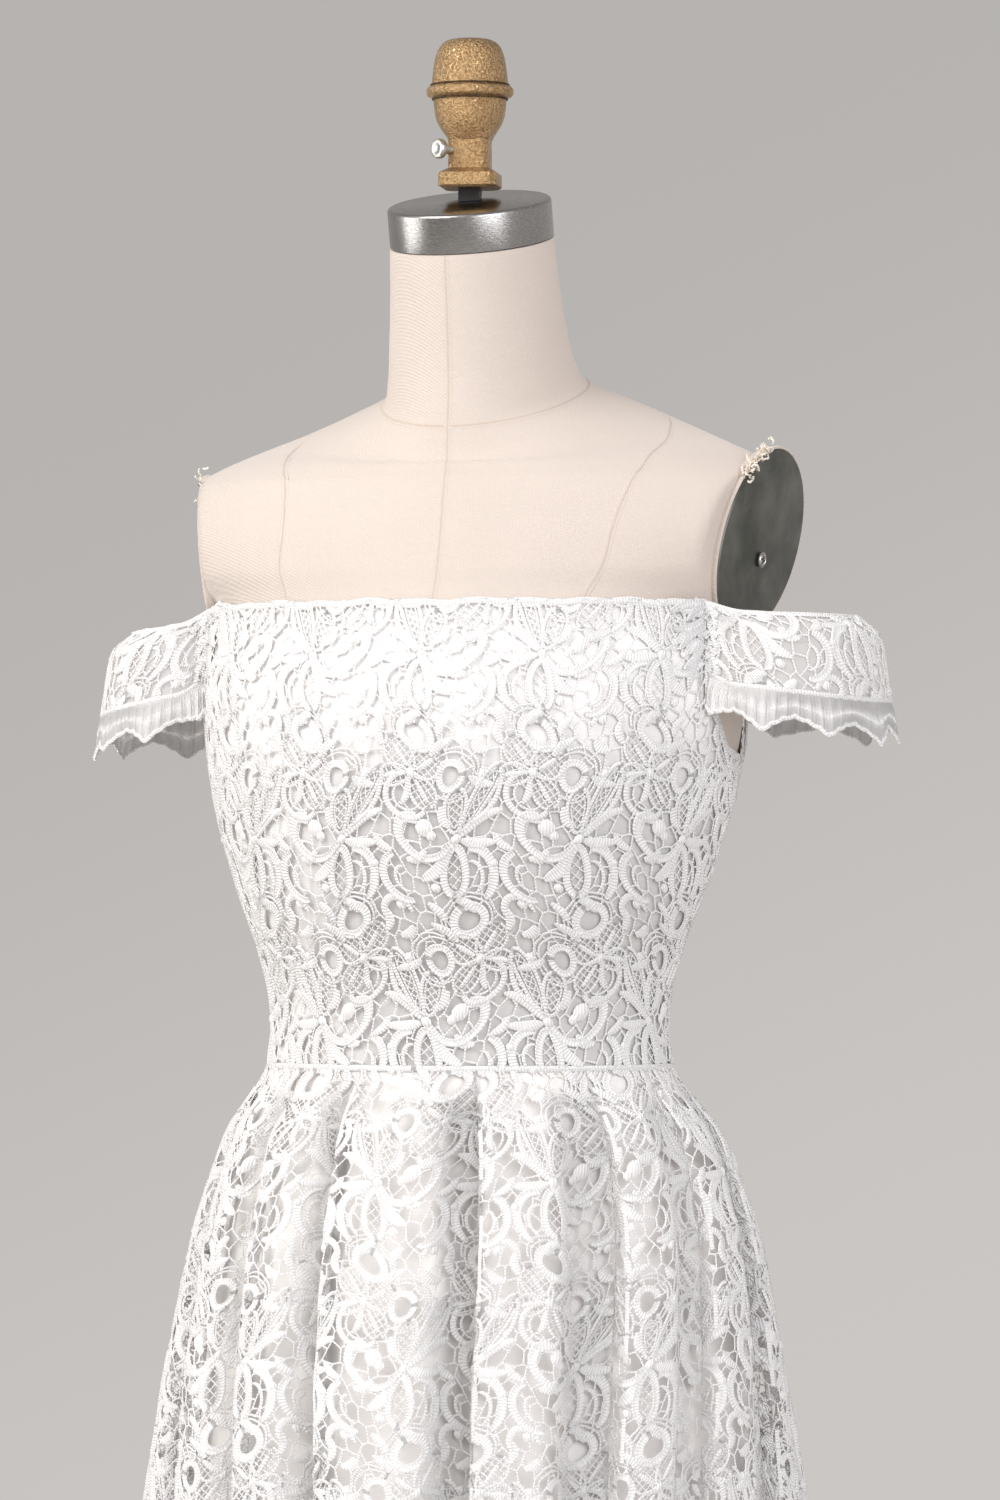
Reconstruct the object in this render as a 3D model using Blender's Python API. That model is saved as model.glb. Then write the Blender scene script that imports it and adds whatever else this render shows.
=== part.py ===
"""Off-the-shoulder wedding dress of guipure lace over a lining, on a limbless dress form.

Metres. The floor is z = 0, the wearer faces -Y and the wearer's left is +X.
Cloth is a wall between an outer face and the same face moved in along its normal.
"""
import math

import bpy
from mathutils import Vector

# Heights
WAIST_Z = 1.040
NECKLINE_Z = 1.319
HEM_Z = 0.320
LINING_HEM_Z = 0.345
ARMHOLE_CORNER_Z = 1.262
NECK_TOP_Z = 1.5395
FORM_BOTTOM_Z = 0.838

# Cloth walls and the room between layers
SEAM_GAP = 0.0003
LACE_WALL = 0.0012
SLEEVE_WALL = 0.0015
LINING_WALL = 0.0011
LINING_INSET = 0.0020
LINING_DROP = 0.0020
SKIRT_LINING_INSET = 0.0034
SKIRT_LINING_EASE = 0.0030
SEAM_ALLOWANCE_EASE = 0.00015

# Dress form
FORM_INSET = 0.00345
FORM_WAIST_INSET = 0.0053
WAIST_EASE_HEIGHT = 0.060
ARMHOLE_EASE = 0.0006
ARM_COLUMNS = (66.0, 118.0)
ARMHOLE_SLOPE = 4.0
ARM_PLATE_CENTRE = Vector((0.1750, 0.0320, 1.3560))
ARM_PLATE_FORWARD = math.radians(10.0)
ARM_PLATE_DOWN = math.radians(4.0)
ARM_PLATE_HALF_WIDTH = 0.0545
ARM_PLATE_HALF_HEIGHT = 0.0575
ARM_PLATE_THICK = 0.0030
ARM_SCREW_BELOW = 0.0100
PLATE_SIDES = 24
SCREW_SIDES = 12
ARM_FLAT_FROM_Z = 1.300
NECK_TILT = math.radians(14.0)
NECK_TOP_CENTRE = Vector((0.0, 0.0040, NECK_TOP_Z))
NECK_PLATE_RADIUS = 0.0500
NECK_PLATE_HEIGHT = 0.0240
NECK_BOSS_RADIUS = 0.0175
NECK_BOSS_HEIGHT = 0.0012
ROD_SIDE = 0.0127
FINIAL_FOOT_Z = 1.5715
FINIAL_TURN = math.radians(11.0)
FINIAL_SIDES = 16
FINIAL_CORNER_CUT = 1.24
SCREW_AZIMUTH = math.radians(-34.0)
SCREW_Z = 1.5945
SCREW_FOOT_RADIUS = 0.0147
POLE_RADIUS = 0.0127
BASE_RADIUS = 0.190
BASE_TOP_Z = 0.058

# Skirt pleats
PLEAT_STEP = 1.6
PLEAT_FALL = 3.6
WIDEST_STRIP = 13.0
WAIST_SPREAD = 0.36
SPREAD_CENTRE = 15.0
SPREAD_END_Z = 0.66
HEM_SCALLOP = 0.010
NARROWEST_CUT_STRIP = 3.0
WIDEST_CUT_SHARE = 0.32
PLEATS_OPEN_DEPTH = 0.006
SIDE_SEAM_LEFT = 95.0
SIDE_SEAM_RIGHT = -86.0
BACK_SEAM = 180.5
PLAIN_SIDE_SEAM = 94.0

# Lace gaps: width and height, and how they are set out
BODICE_GAP = (0.0105, 0.0150)
SKIRT_GAP = (0.0120, 0.0190)
RECESS_GAP = (0.0085, 0.0170)
SLEEVE_GAP = (0.0100, 0.0120)
GAP_SIDES = 6
RECESS_GAP_SIDES = 4
GAP_EVERY = 3
GAP_FIRST = 1
NARROWEST_CUT_COLUMN = 8.0

# Steps used to find the normal of a face: degrees and metres
BODICE_STEP = (0.5, 0.002)
SKIRT_STEP = (0.4, 0.002)
SLEEVE_STEP = (0.004, 0.015)

# Outer face of the bodice: z, half width, front depth, back depth, centre y
BODICE_ROWS = (
    (WAIST_Z, 0.1250, 0.0970, 0.0900, 0.000),
    (1.066, 0.1225, 0.0965, 0.0880, 0.000),
    (1.100, 0.1280, 0.1015, 0.0915, 0.000),
    (1.145, 0.1440, 0.1160, 0.1010, 0.002),
    (1.200, 0.1610, 0.1300, 0.1090, 0.008),
    (ARMHOLE_CORNER_Z, 0.1705, 0.1300, 0.1120, 0.014),
    (NECKLINE_Z, 0.1710, 0.1100, 0.1100, 0.020),
)

# Raised face of the skirt: z, half width, front depth, back depth, centre y, pleat depth
SKIRT_ROWS = (
    (WAIST_Z, 0.1250, 0.0970, 0.0900, 0.000, 0.0000),
    (1.000, 0.1525, 0.1205, 0.1190, 0.006, 0.0065),
    (0.940, 0.1735, 0.1430, 0.1480, 0.010, 0.0120),
    (0.850, 0.1910, 0.1680, 0.1710, 0.009, 0.0160),
    (0.720, 0.2120, 0.1940, 0.1960, 0.009, 0.0185),
    (0.590, 0.2330, 0.2165, 0.2185, 0.009, 0.0200),
    (0.455, 0.2550, 0.2395, 0.2415, 0.009, 0.0210),
    (HEM_Z, 0.2770, 0.2620, 0.2640, 0.009, 0.0220),
)

# Shoulders and neck of the form: z, half width, front depth, back depth, centre y, rise to the back
SHOULDER_ROWS = (
    (1.340, 0.1940, 0.1080, 0.0965, 0.029, 0.00),
    (1.360, 0.2040, 0.1050, 0.0910, 0.032, 0.00),
    (1.380, 0.2010, 0.1010, 0.0850, 0.035, 0.00),
    (1.395, 0.1890, 0.0980, 0.0790, 0.038, 0.02),
    (1.405, 0.1750, 0.0950, 0.0745, 0.0395, 0.08),
    (1.416, 0.1500, 0.0920, 0.0690, 0.041, 0.15),
    (1.427, 0.1210, 0.0910, 0.0610, 0.0450, 0.25),
    (1.438, 0.0920, 0.0860, 0.0560, 0.0425, 0.31),
    (1.449, 0.0630, 0.0730, 0.0590, 0.0310, 0.33),
    (1.462, 0.0565, 0.0615, 0.0595, 0.0215, 0.32),
    (1.480, 0.0540, 0.0550, 0.0570, 0.015, 0.31),
    (1.508, 0.0515, 0.0515, 0.0525, 0.009, 0.27),
    (NECK_TOP_Z, 0.0500, 0.0500, 0.0500, 0.004, math.tan(NECK_TILT)),
)

# Hips of the form, from the bottom up: z, half width, front depth, back depth, centre y
HIP_ROWS = (
    (FORM_BOTTOM_Z, 0.1480, 0.1180, 0.1240, 0.009),
    (0.850, 0.1560, 0.1260, 0.1320, 0.009),
    (0.890, 0.1560, 0.1270, 0.1330, 0.009),
    (0.940, 0.1500, 0.1210, 0.1260, 0.009),
    (1.000, 0.1350, 0.1040, 0.1040, 0.005),
)

# Columns of the bodice and form, degrees from the centre front towards the wearer's left,
# with the height of the bodice's top edge there: angle, top z
TOP_EDGE = (
    (0.0, NECKLINE_Z),
    (13.2, NECKLINE_Z),
    (26.4, NECKLINE_Z),
    (39.6, NECKLINE_Z),
    (52.8, NECKLINE_Z),
    (66.0, NECKLINE_Z),
    (70.0, ARMHOLE_CORNER_Z),
    (82.0, 1.231),
    (94.0, 1.226),
    (105.0, 1.236),
    (114.0, ARMHOLE_CORNER_Z),
    (118.0, NECKLINE_Z),
    (130.4, NECKLINE_Z),
    (142.8, NECKLINE_Z),
    (155.2, NECKLINE_Z),
    (167.6, NECKLINE_Z),
    (180.0, NECKLINE_Z),
)

# Pleats round the skirt: angle of the sharp edge, width of the raised panel, depth share
PLEATS = (
    (-81.0, 12.0, 0.90),
    (-61.0, 10.0, 0.85),
    (-43.0, 9.5, 0.80),
    (-26.0, 9.0, 0.90),
    (-9.7, 17.5, 1.00),
    (16.0, 12.5, 1.00),
    (40.0, 9.5, 0.80),
    (59.0, 11.0, 0.75),
    (79.0, 10.5, 0.85),
    (101.0, 12.0, 0.95),
    (124.0, 12.0, 1.00),
    (146.0, 11.0, 0.90),
    (166.0, 9.0, 1.00),
    (187.0, 10.0, 1.00),
    (209.0, 12.5, 0.90),
    (233.0, 11.5, 1.00),
    (256.0, 12.0, 0.90),
)

# Path of a sleeve loop seen from above, between its two ends: share of the way, x, y
SLEEVE_PATH = (
    (0.17, 0.1930, -0.0350),
    (0.34, 0.2280, -0.0190),
    (0.50, 0.2470, 0.0170),
    (0.66, 0.2430, 0.0580),
    (0.83, 0.2090, 0.0880),
)

# Side view of a sleeve from the top down: share of its height, outward offset
SLEEVE_PROFILE = (
    (0.00, -0.0150),
    (0.13, -0.0030),
    (0.45, 0.0020),
    (0.78, 0.0050),
    (1.00, 0.0030),
)
SLEEVE_LENGTH = 0.270
SLEEVE_TOP_Z = 1.3170
SLEEVE_HEIGHT_FRONT = 0.0660
SLEEVE_HEIGHT_BACK = 0.0790
SLEEVE_COLUMNS = 10
SLEEVE_SCALLOPS = 5
SLEEVE_SCALLOP = 0.009
SLEEVE_END_RADIUS = 0.12
SLEEVE_END_BLEND = 0.2
RIGHT_SLEEVE_SAG = 0.010
RIGHT_SLEEVE_DRAW = 0.006


def clear_scene():
    """Remove every object of the open file."""
    for item in list(bpy.data.objects):
        bpy.data.objects.remove(item, do_unlink=True)


def material(name, colour, roughness, metallic=0.0):
    """Principled material from a linear colour."""
    made = bpy.data.materials.new(name)
    made.use_nodes = True
    shader = made.node_tree.nodes["Principled BSDF"]
    shader.inputs["Base Color"].default_value = (*colour, 1.0)
    shader.inputs["Roughness"].default_value = roughness
    shader.inputs["Metallic"].default_value = metallic
    return made


def add_object(name, points, faces, finish, smooth_angle=35.0):
    """One named object from points and faces."""
    mesh = bpy.data.meshes.new(name)
    mesh.from_pydata([tuple(p) for p in points], [], faces)
    mesh.materials.append(finish)
    mesh.shade_smooth()
    mesh.set_sharp_from_angle(angle=math.radians(smooth_angle))
    made = bpy.data.objects.new(name, mesh)
    bpy.context.scene.collection.objects.link(made)
    return made


def spline(a, b, c, d, share):
    """Catmull-Rom value between b and c."""
    slope_b = (c - a) / 2.0
    slope_c = (d - b) / 2.0
    s2 = share * share
    s3 = s2 * share
    return (
        (2 * s3 - 3 * s2 + 1) * b
        + (s3 - 2 * s2 + share) * slope_b
        + (3 * s2 - 2 * s3) * c
        + (s3 - s2) * slope_c
    )


def row_at(rows, height):
    """Smoothly interpolated row of a table whose first column is the key."""
    rising = rows[-1][0] > rows[0][0]
    keys = [row[0] if rising else -row[0] for row in rows]
    key = height if rising else -height
    last = len(rows) - 2
    index = 0
    while index < last and key > keys[index + 1]:
        index += 1
    share = (key - keys[index]) / (keys[index + 1] - keys[index])
    before = rows[max(index - 1, 0)]
    after = rows[min(index + 2, len(rows) - 1)]
    return [
        spline(before[i], rows[index][i], rows[index + 1][i], after[i], share)
        for i in range(1, len(rows[0]))
    ]


def section_point(angle, height, half_width, front, back, centre_y, rise=0.0):
    """Point at an angle in degrees from the centre front, on an oval section."""
    turn = math.radians(angle)
    depth = front if math.cos(turn) > 0 else back
    x = half_width * math.sin(turn)
    y = -depth * math.cos(turn)
    return Vector((x, centre_y + y, height + rise * y))


def bodice_face(angle, height):
    """Outer face of the bodice lace."""
    return section_point(angle, height, *row_at(BODICE_ROWS, height))


def smooth_share(value):
    """Smooth step from 0 to 1."""
    value = min(max(value, 0.0), 1.0)
    return value * value * (3.0 - 2.0 * value)


def pleat_edges():
    """Angles of the four columns of every pleat: edge, end of panel, fall, foot of next step."""
    columns = []
    for index, (edge, width, share) in enumerate(PLEATS):
        following = PLEATS[(index + 1) % len(PLEATS)][0]
        if following < edge:
            following += 360.0
        columns.append((edge, edge + width, edge + width + PLEAT_FALL, following - PLEAT_STEP, share))
    return columns


def pleat_drop(angle):
    """How far an angle lies below the raised panels, as a share of the pleat depth."""
    first = PLEATS[0][0]
    while angle < first:
        angle += 360.0
    while angle >= first + 360.0:
        angle -= 360.0
    for edge, panel_end, fall_end, step_foot, share in pleat_edges():
        if edge <= angle <= step_foot + PLEAT_STEP:
            if angle <= panel_end:
                return 0.0
            if angle < fall_end:
                return share * (angle - panel_end) / PLEAT_FALL
            if angle <= step_foot:
                return share
            return share * (step_foot + PLEAT_STEP - angle) / PLEAT_STEP
    return 0.0


def spread_angle(angle, height):
    """Angle round the body of a pleat line: the front pleats open out towards the waist."""
    share = smooth_share((height - SPREAD_END_Z) / (WAIST_Z - SPREAD_END_Z))
    away = math.radians(angle - SPREAD_CENTRE)
    return angle + math.degrees(WAIST_SPREAD * share * math.sin(away))


def moved_in(point, centre_y, distance):
    """Point moved level towards the axis."""
    radius = math.hypot(point.x, point.y - centre_y)
    keep = 1.0 - distance / radius
    return Vector((point.x * keep, centre_y + (point.y - centre_y) * keep, point.z))


def skirt_face(angle, height):
    """Outer face of the pleated lace skirt."""
    half_width, front, back, centre_y, depth = row_at(SKIRT_ROWS, height)
    turn = spread_angle(angle, height)
    point = section_point(turn, height, half_width, front, back, centre_y)
    return moved_in(point, centre_y, depth * pleat_drop(angle))


def skirt_lining_face(angle, height):
    """Outer face of the plain skirt lining, inside the deepest pleats."""
    half_width, front, back, centre_y, depth = row_at(SKIRT_ROWS, height)
    point = section_point(angle, height, half_width, front, back, centre_y)
    opened = smooth_share(depth / PLEATS_OPEN_DEPTH)
    ease = SKIRT_LINING_INSET + (SKIRT_LINING_EASE - SKIRT_LINING_INSET) * opened
    return moved_in(point, centre_y, depth + ease)


def face_normal(surface, u, v, step_u, step_v):
    """Outward normal of a surface by central differences."""
    along_u = surface(u + step_u, v) - surface(u - step_u, v)
    along_v = surface(u, v + step_v) - surface(u, v - step_v)
    return along_u.cross(along_v).normalized()


class Sheet:
    """Triangles on a flat chart of (u, v), turned into a closed wall on a surface."""

    def __init__(self):
        self.keys = []
        self.index = {}
        self.faces = []
        self.blends = {}

    def point(self, u, v):
        """Index of a chart point, made once."""
        key = (round(u, 6), round(v, 6))
        if key not in self.index:
            self.index[key] = len(self.keys)
            self.keys.append((u, v))
        return self.index[key]

    def fan(self, corners):
        """Fill a convex cell from its first corner."""
        points = [self.point(u, v) for u, v in corners]
        for i in range(1, len(points) - 1):
            self.faces.append((points[0], points[i], points[i + 1]))

    def cell_with_gap(self, corners, gap):
        """Fill the ring between a cell and the gap in it; both run counter-clockwise.

        The gap's points lie between the cell's four main corners, so that they stay in its plane.
        """
        low_u, high_u = min(u for u, v in corners), max(u for u, v in corners)
        high_v = max(v for u, v in corners)
        low_v = corners[0][1]
        frame = [self.point(*corner) for corner in (
            (low_u, low_v), (high_u, low_v), (high_u, high_v), (low_u, high_v))]
        for u, v in gap:
            share_u = (u - low_u) / (high_u - low_u)
            share_v = (v - low_v) / (high_v - low_v)
            weights = (
                (1.0 - share_u) * (1.0 - share_v),
                share_u * (1.0 - share_v),
                share_u * share_v,
                (1.0 - share_u) * share_v,
            )
            self.blends[self.point(u, v)] = list(zip(frame, weights))
        mid_u = sum(u for u, v in gap) / len(gap)
        mid_v = sum(v for u, v in gap) / len(gap)
        span_u = max(u for u, v in corners) - min(u for u, v in corners)
        span_v = max(v for u, v in corners) - min(v for u, v in corners)

        def ordered(loop):
            turned = [
                (math.atan2((v - mid_v) / span_v, (u - mid_u) / span_u), self.point(u, v))
                for u, v in loop
            ]
            start = min(range(len(turned)), key=lambda i: turned[i][0])
            return turned[start:] + turned[:start]

        outer = ordered(corners)
        inner = ordered(gap)
        i = 0
        j = 0
        full = 2.0 * math.pi
        while i < len(outer) or j < len(inner):
            next_outer = outer[(i + 1) % len(outer)][0] + (full if i + 1 >= len(outer) else 0.0)
            next_inner = inner[(j + 1) % len(inner)][0] + (full if j + 1 >= len(inner) else 0.0)
            a = outer[i % len(outer)][1]
            b = inner[j % len(inner)][1]
            if j >= len(inner) or (i < len(outer) and next_outer < next_inner):
                self.faces.append((a, outer[(i + 1) % len(outer)][1], b))
                i += 1
            else:
                self.faces.append((a, inner[(j + 1) % len(inner)][1], b))
                j += 1

    def placed(self, surface):
        """Every chart point on a surface, with the gaps' points blended from their cell."""
        points = [surface(u, v) for u, v in self.keys]
        for index, parts in self.blends.items():
            points[index] = sum((points[corner] * weight for corner, weight in parts), Vector())
        return points

    def wall(self, name, outer, inner, finish, mirrored=False):
        """Closed wall between two functions of the chart point."""
        count = len(self.keys)
        points = self.placed(outer) + self.placed(inner)
        edges = {(a, b) for face in self.faces for a, b in zip(face, face[1:] + face[:1])}
        faces = list(self.faces)
        faces += [(c + count, b + count, a + count) for a, b, c in self.faces]
        for a, b in sorted(edges):
            if (b, a) not in edges:
                faces.append((b, a, a + count))
                faces.append((b, a + count, b + count))
        if mirrored:
            points = [Vector((-p.x, p.y, p.z)) for p in points]
            faces = [tuple(reversed(face)) for face in faces]
        return add_object(name, points, faces, finish)


def polygon_gap(mid_u, mid_v, half_u, half_v, sides):
    """Corners of a gap, counter-clockwise on the chart."""
    turn = math.pi / sides if sides == 4 else 0.0
    grow = math.sqrt(2.0) if sides == 4 else 1.0
    return [
        (
            mid_u + grow * half_u * math.cos(turn + 2 * math.pi * i / sides),
            mid_v + grow * half_v * math.sin(turn + 2 * math.pi * i / sides),
        )
        for i in range(sides)
    ]


def all_columns():
    """Columns once round, from the centre back over the right side, front and left side."""
    right = [(-angle, top) for angle, top in reversed(TOP_EDGE[1:])]
    return right + list(TOP_EDGE)


def eased(angle, low, high, radius):
    """Angle kept half a seam gap inside the edges of its panel."""
    ease = math.degrees(SEAM_ALLOWANCE_EASE / radius)
    if abs(angle - low) < 1e-6:
        return angle + ease
    if abs(angle - high) < 1e-6:
        return angle - ease
    return angle


def clipped_cell(left, right, low, high, drop):
    """Corners of a bodice cell below the top edge; left and right are (angle, top z)."""
    (angle_l, top_l), (angle_r, top_r) = left, right
    top_l -= drop
    top_r -= drop
    if top_l <= low and top_r <= low:
        return []
    corners = []
    slope = (top_r - top_l) / (angle_r - angle_l)

    def crossing(height):
        return (angle_l + (height - top_l) / slope, height)

    if top_l > low:
        corners.append((angle_l, low))
    else:
        corners.append(crossing(low))
    if top_r > low:
        corners.append((angle_r, low))
        corners.append((angle_r, min(high, top_r)))
    else:
        corners.append(crossing(low))
    if top_r < high < top_l:
        corners.append(crossing(high))
    if top_l < high < top_r:
        corners.append(crossing(high))
    if top_l > low:
        corners.append((angle_l, min(high, top_l)))
    kept = []
    for corner in corners:
        if not kept or math.dist(corner, kept[-1]) > 1e-7:
            kept.append(corner)
    return kept


def bodice_heights(drop):
    """Heights of the bodice's rows, the last one lowered by the edge's drop."""
    heights = [row[0] for row in BODICE_ROWS]
    heights[0] += SEAM_GAP / 2.0
    heights[-1] -= drop
    return heights


def bodice_panel(name, low, high, inset, wall, drop, gaps, finish):
    """One panel of the bodice between two seams, with or without the lace's gaps."""
    sheet = Sheet()
    columns = [pair for pair in all_columns() if low - 1e-6 <= pair[0] <= high + 1e-6]
    heights = bodice_heights(drop)
    for i in range(len(columns) - 1):
        for j in range(len(heights) - 1):
            corners = clipped_cell(columns[i], columns[i + 1], heights[j], heights[j + 1], drop)
            if len(corners) < 3:
                continue
            if gaps and len(corners) == 4 and (i + j) % GAP_EVERY == GAP_FIRST:
                mid_u = (corners[0][0] + corners[1][0]) / 2.0
                mid_v = sum(corner[1] for corner in corners) / 4.0
                radius = row_at(BODICE_ROWS, mid_v)[0]
                if corners[1][0] - corners[0][0] > NARROWEST_CUT_COLUMN:
                    half_u = math.degrees(BODICE_GAP[0] / 2.0 / radius)
                    gap = polygon_gap(mid_u, mid_v, half_u, BODICE_GAP[1] / 2.0, GAP_SIDES)
                    sheet.cell_with_gap(corners, gap)
                    continue
            sheet.fan(corners)

    def at(angle, height, depth):
        radius = row_at(BODICE_ROWS, height)[2]
        angle = eased(angle, low, high, radius)
        return bodice_face(angle, height) - face_normal(bodice_face, angle, height, *BODICE_STEP) * depth

    return sheet.wall(
        name,
        lambda u, v: at(u, v, inset),
        lambda u, v: at(u, v, inset + wall),
        finish,
    )


def skirt_panel(name, low, high, finish):
    """One pleated panel of the lace skirt between two seams."""
    sheet = Sheet()
    heights = [row[0] for row in SKIRT_ROWS]
    heights[0] -= SEAM_GAP / 2.0
    angles = [low]
    panels = {}
    for edge, panel_end, fall_end, step_foot, share in pleat_edges():
        strips = [(edge, panel_end, True), (fall_end, step_foot, False)]
        if panel_end - edge > WIDEST_STRIP:
            middle = (edge + panel_end) / 2.0
            strips = [(edge, middle, True), (middle, panel_end, True), strips[1]]
        for start, end, raised in strips:
            if low < end and start < high:
                panels[round(max(start, low), 6)] = raised
                angles += [a for a in (start, end) if low < a < high]
    angles = sorted(set(angles)) + [high]
    for left, right in zip(angles, angles[1:]):
        raised = panels.get(round(left, 6))
        for j in range(len(heights) - 1):
            upper, lower = heights[j], heights[j + 1]
            mid_u = (left + right) / 2.0
            mid_v = (upper + lower) / 2.0
            corners = [(left, lower), (right, lower), (right, upper), (left, upper)]
            if raised is not None and j == len(heights) - 2:
                corners.insert(1, (mid_u, lower - HEM_SCALLOP))
            if raised is None or j == 0 or right - left < NARROWEST_CUT_STRIP:
                sheet.fan(corners)
                continue
            radius = row_at(SKIRT_ROWS, mid_v)[0]
            width, tall = SKIRT_GAP if raised else RECESS_GAP
            half_u = min(math.degrees(width / 2.0 / radius), (right - left) * WIDEST_CUT_SHARE)
            sides = GAP_SIDES if raised else RECESS_GAP_SIDES
            gap = polygon_gap(mid_u, mid_v, half_u, tall / 2.0, sides)
            sheet.cell_with_gap(corners, gap)

    def at(angle, height, depth):
        radius = row_at(SKIRT_ROWS, height)[2]
        angle = eased(angle, low, high, radius)
        normal = face_normal(skirt_face, angle, height, *SKIRT_STEP)
        return skirt_face(angle, height) - normal * depth

    return sheet.wall(name, lambda u, v: at(u, v, 0.0), lambda u, v: at(u, v, LACE_WALL), finish)


def skirt_lining_panel(name, low, high, finish):
    """One plain panel of the skirt lining between two seams."""
    sheet = Sheet()
    heights = [row[0] for row in SKIRT_ROWS]
    heights[0] -= SEAM_GAP / 2.0
    heights[-1] = LINING_HEM_Z
    angles = [pair[0] for pair in all_columns() if low < pair[0] < high]
    angles = [low] + angles + [high]
    for left, right in zip(angles, angles[1:]):
        for upper, lower in zip(heights, heights[1:]):
            sheet.fan([(left, lower), (right, lower), (right, upper), (left, upper)])

    def at(angle, height, depth):
        radius = row_at(SKIRT_ROWS, height)[2]
        angle = eased(angle, low, high, radius)
        normal = face_normal(skirt_lining_face, angle, height, *BODICE_STEP)
        return skirt_lining_face(angle, height) - normal * depth

    return sheet.wall(name, lambda u, v: at(u, v, 0.0), lambda u, v: at(u, v, LINING_WALL), finish)


def sleeve_plan(share, height, sag, draw):
    """Point of the sleeve loop seen from above, between its two ends on the bodice."""
    body_height = min(max(height, ARMHOLE_CORNER_Z), NECKLINE_Z)
    rise = (NECKLINE_Z - body_height) / (NECKLINE_Z - ARMHOLE_CORNER_Z)
    inside = ARMHOLE_SLOPE * rise + math.degrees(SEAM_GAP / SLEEVE_END_RADIUS)
    front = bodice_face(ARM_COLUMNS[0] + inside, body_height)
    back = bodice_face(ARM_COLUMNS[1] - inside, body_height)
    rows = [(0.0, front.x, front.y)] + list(SLEEVE_PATH) + [(1.0, back.x, back.y)]
    x, y = row_at(rows, share)
    middle = math.sin(math.pi * share)
    return Vector((x - draw * middle, y, height - sag * middle))


def sleeve_face(share, height_share, sag, draw):
    """Outer face of a sleeve: share of the way round and share of the height from the hem."""
    down = 1.0 - height_share
    tall = SLEEVE_HEIGHT_FRONT + (SLEEVE_HEIGHT_BACK - SLEEVE_HEIGHT_FRONT) * smooth_share(share * 2.0)
    height = SLEEVE_TOP_Z - tall * down
    point = sleeve_plan(share, height, sag, draw)
    ahead = sleeve_plan(min(share + 0.01, 1.0), height, sag, draw)
    behind = sleeve_plan(max(share - 0.01, 0.0), height, sag, draw)
    along = ahead - behind
    outward = Vector((along.y, -along.x, 0.0)).normalized()
    (offset,) = row_at(SLEEVE_PROFILE, down)
    free = smooth_share(min(share, 1.0 - share) / SLEEVE_END_BLEND)
    return point + outward * offset * free


def sleeve_panel(name, first, last, sag, draw, mirrored, finish):
    """Front or back half of a sleeve loop, with a scalloped lower border."""
    sheet = Sheet()
    rows = [1.0 - row[0] for row in SLEEVE_PROFILE]
    shares = [i / SLEEVE_COLUMNS for i in range(first, last + 1)]
    for left, right in zip(shares, shares[1:]):
        mid = (left + right) / 2.0
        for j in range(len(rows) - 1):
            upper, lower = rows[j], rows[j + 1]
            corners = [(left, lower), (right, lower), (right, upper), (left, upper)]
            if 0 < j < 3 and not (j == 2 and (left == 0.0 or right == 1.0)):
                half_u = SLEEVE_GAP[0] / 2.0 / SLEEVE_LENGTH
                half_v = SLEEVE_GAP[1] / 2.0 / SLEEVE_HEIGHT_BACK
                gap = polygon_gap(mid, (upper + lower) / 2.0, half_u, half_v, GAP_SIDES)
                sheet.cell_with_gap(corners, gap)
            else:
                sheet.fan(corners)

    def at(share, height_share, depth):
        edge = SEAM_ALLOWANCE_EASE / SLEEVE_LENGTH
        if abs(share - 0.5) < 1e-6:
            share += edge if first else -edge
        down = 1.0 - height_share
        if down > 0.999:
            phase = share * SLEEVE_SCALLOPS / 2.0
            point_down = 1.0 - abs(math.sin(math.pi * phase))
            height_share -= point_down * SLEEVE_SCALLOP / SLEEVE_HEIGHT_BACK
        near = min(max(share, SLEEVE_STEP[0]), 1.0 - SLEEVE_STEP[0])
        high = min(max(height_share, 0.0), 1.0 - SLEEVE_STEP[1])
        normal = face_normal(lambda u, v: sleeve_face(u, v, sag, draw), near, high, *SLEEVE_STEP)
        return sleeve_face(share, height_share, sag, draw) - normal * depth

    return sheet.wall(
        name,
        lambda u, v: at(u, v, 0.0),
        lambda u, v: at(u, v, SLEEVE_WALL),
        finish,
        mirrored,
    )


def arm_normal():
    """Outward direction of the wearer's left arm plate."""
    level = math.cos(ARM_PLATE_DOWN)
    return Vector((
        math.cos(ARM_PLATE_FORWARD) * level,
        -math.sin(ARM_PLATE_FORWARD) * level,
        -math.sin(ARM_PLATE_DOWN),
    ))


def form_point(angle, height, row, inset):
    """Point of the form's cover: a section moved in, cut flat at the arm plates."""
    point = section_point(angle, height, *row)
    if inset:
        point -= face_normal(bodice_face, angle, height, *BODICE_STEP) * inset
    if height > ARM_FLAT_FROM_Z:
        normal = arm_normal()
        side = 1.0 if point.x >= 0 else -1.0
        local = Vector((abs(point.x), point.y, point.z))
        past = (local - ARM_PLATE_CENTRE).dot(normal)
        if past > 0.0:
            local.x -= past / normal.x
            point = Vector((side * local.x, local.y, local.z))
    return point


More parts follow.
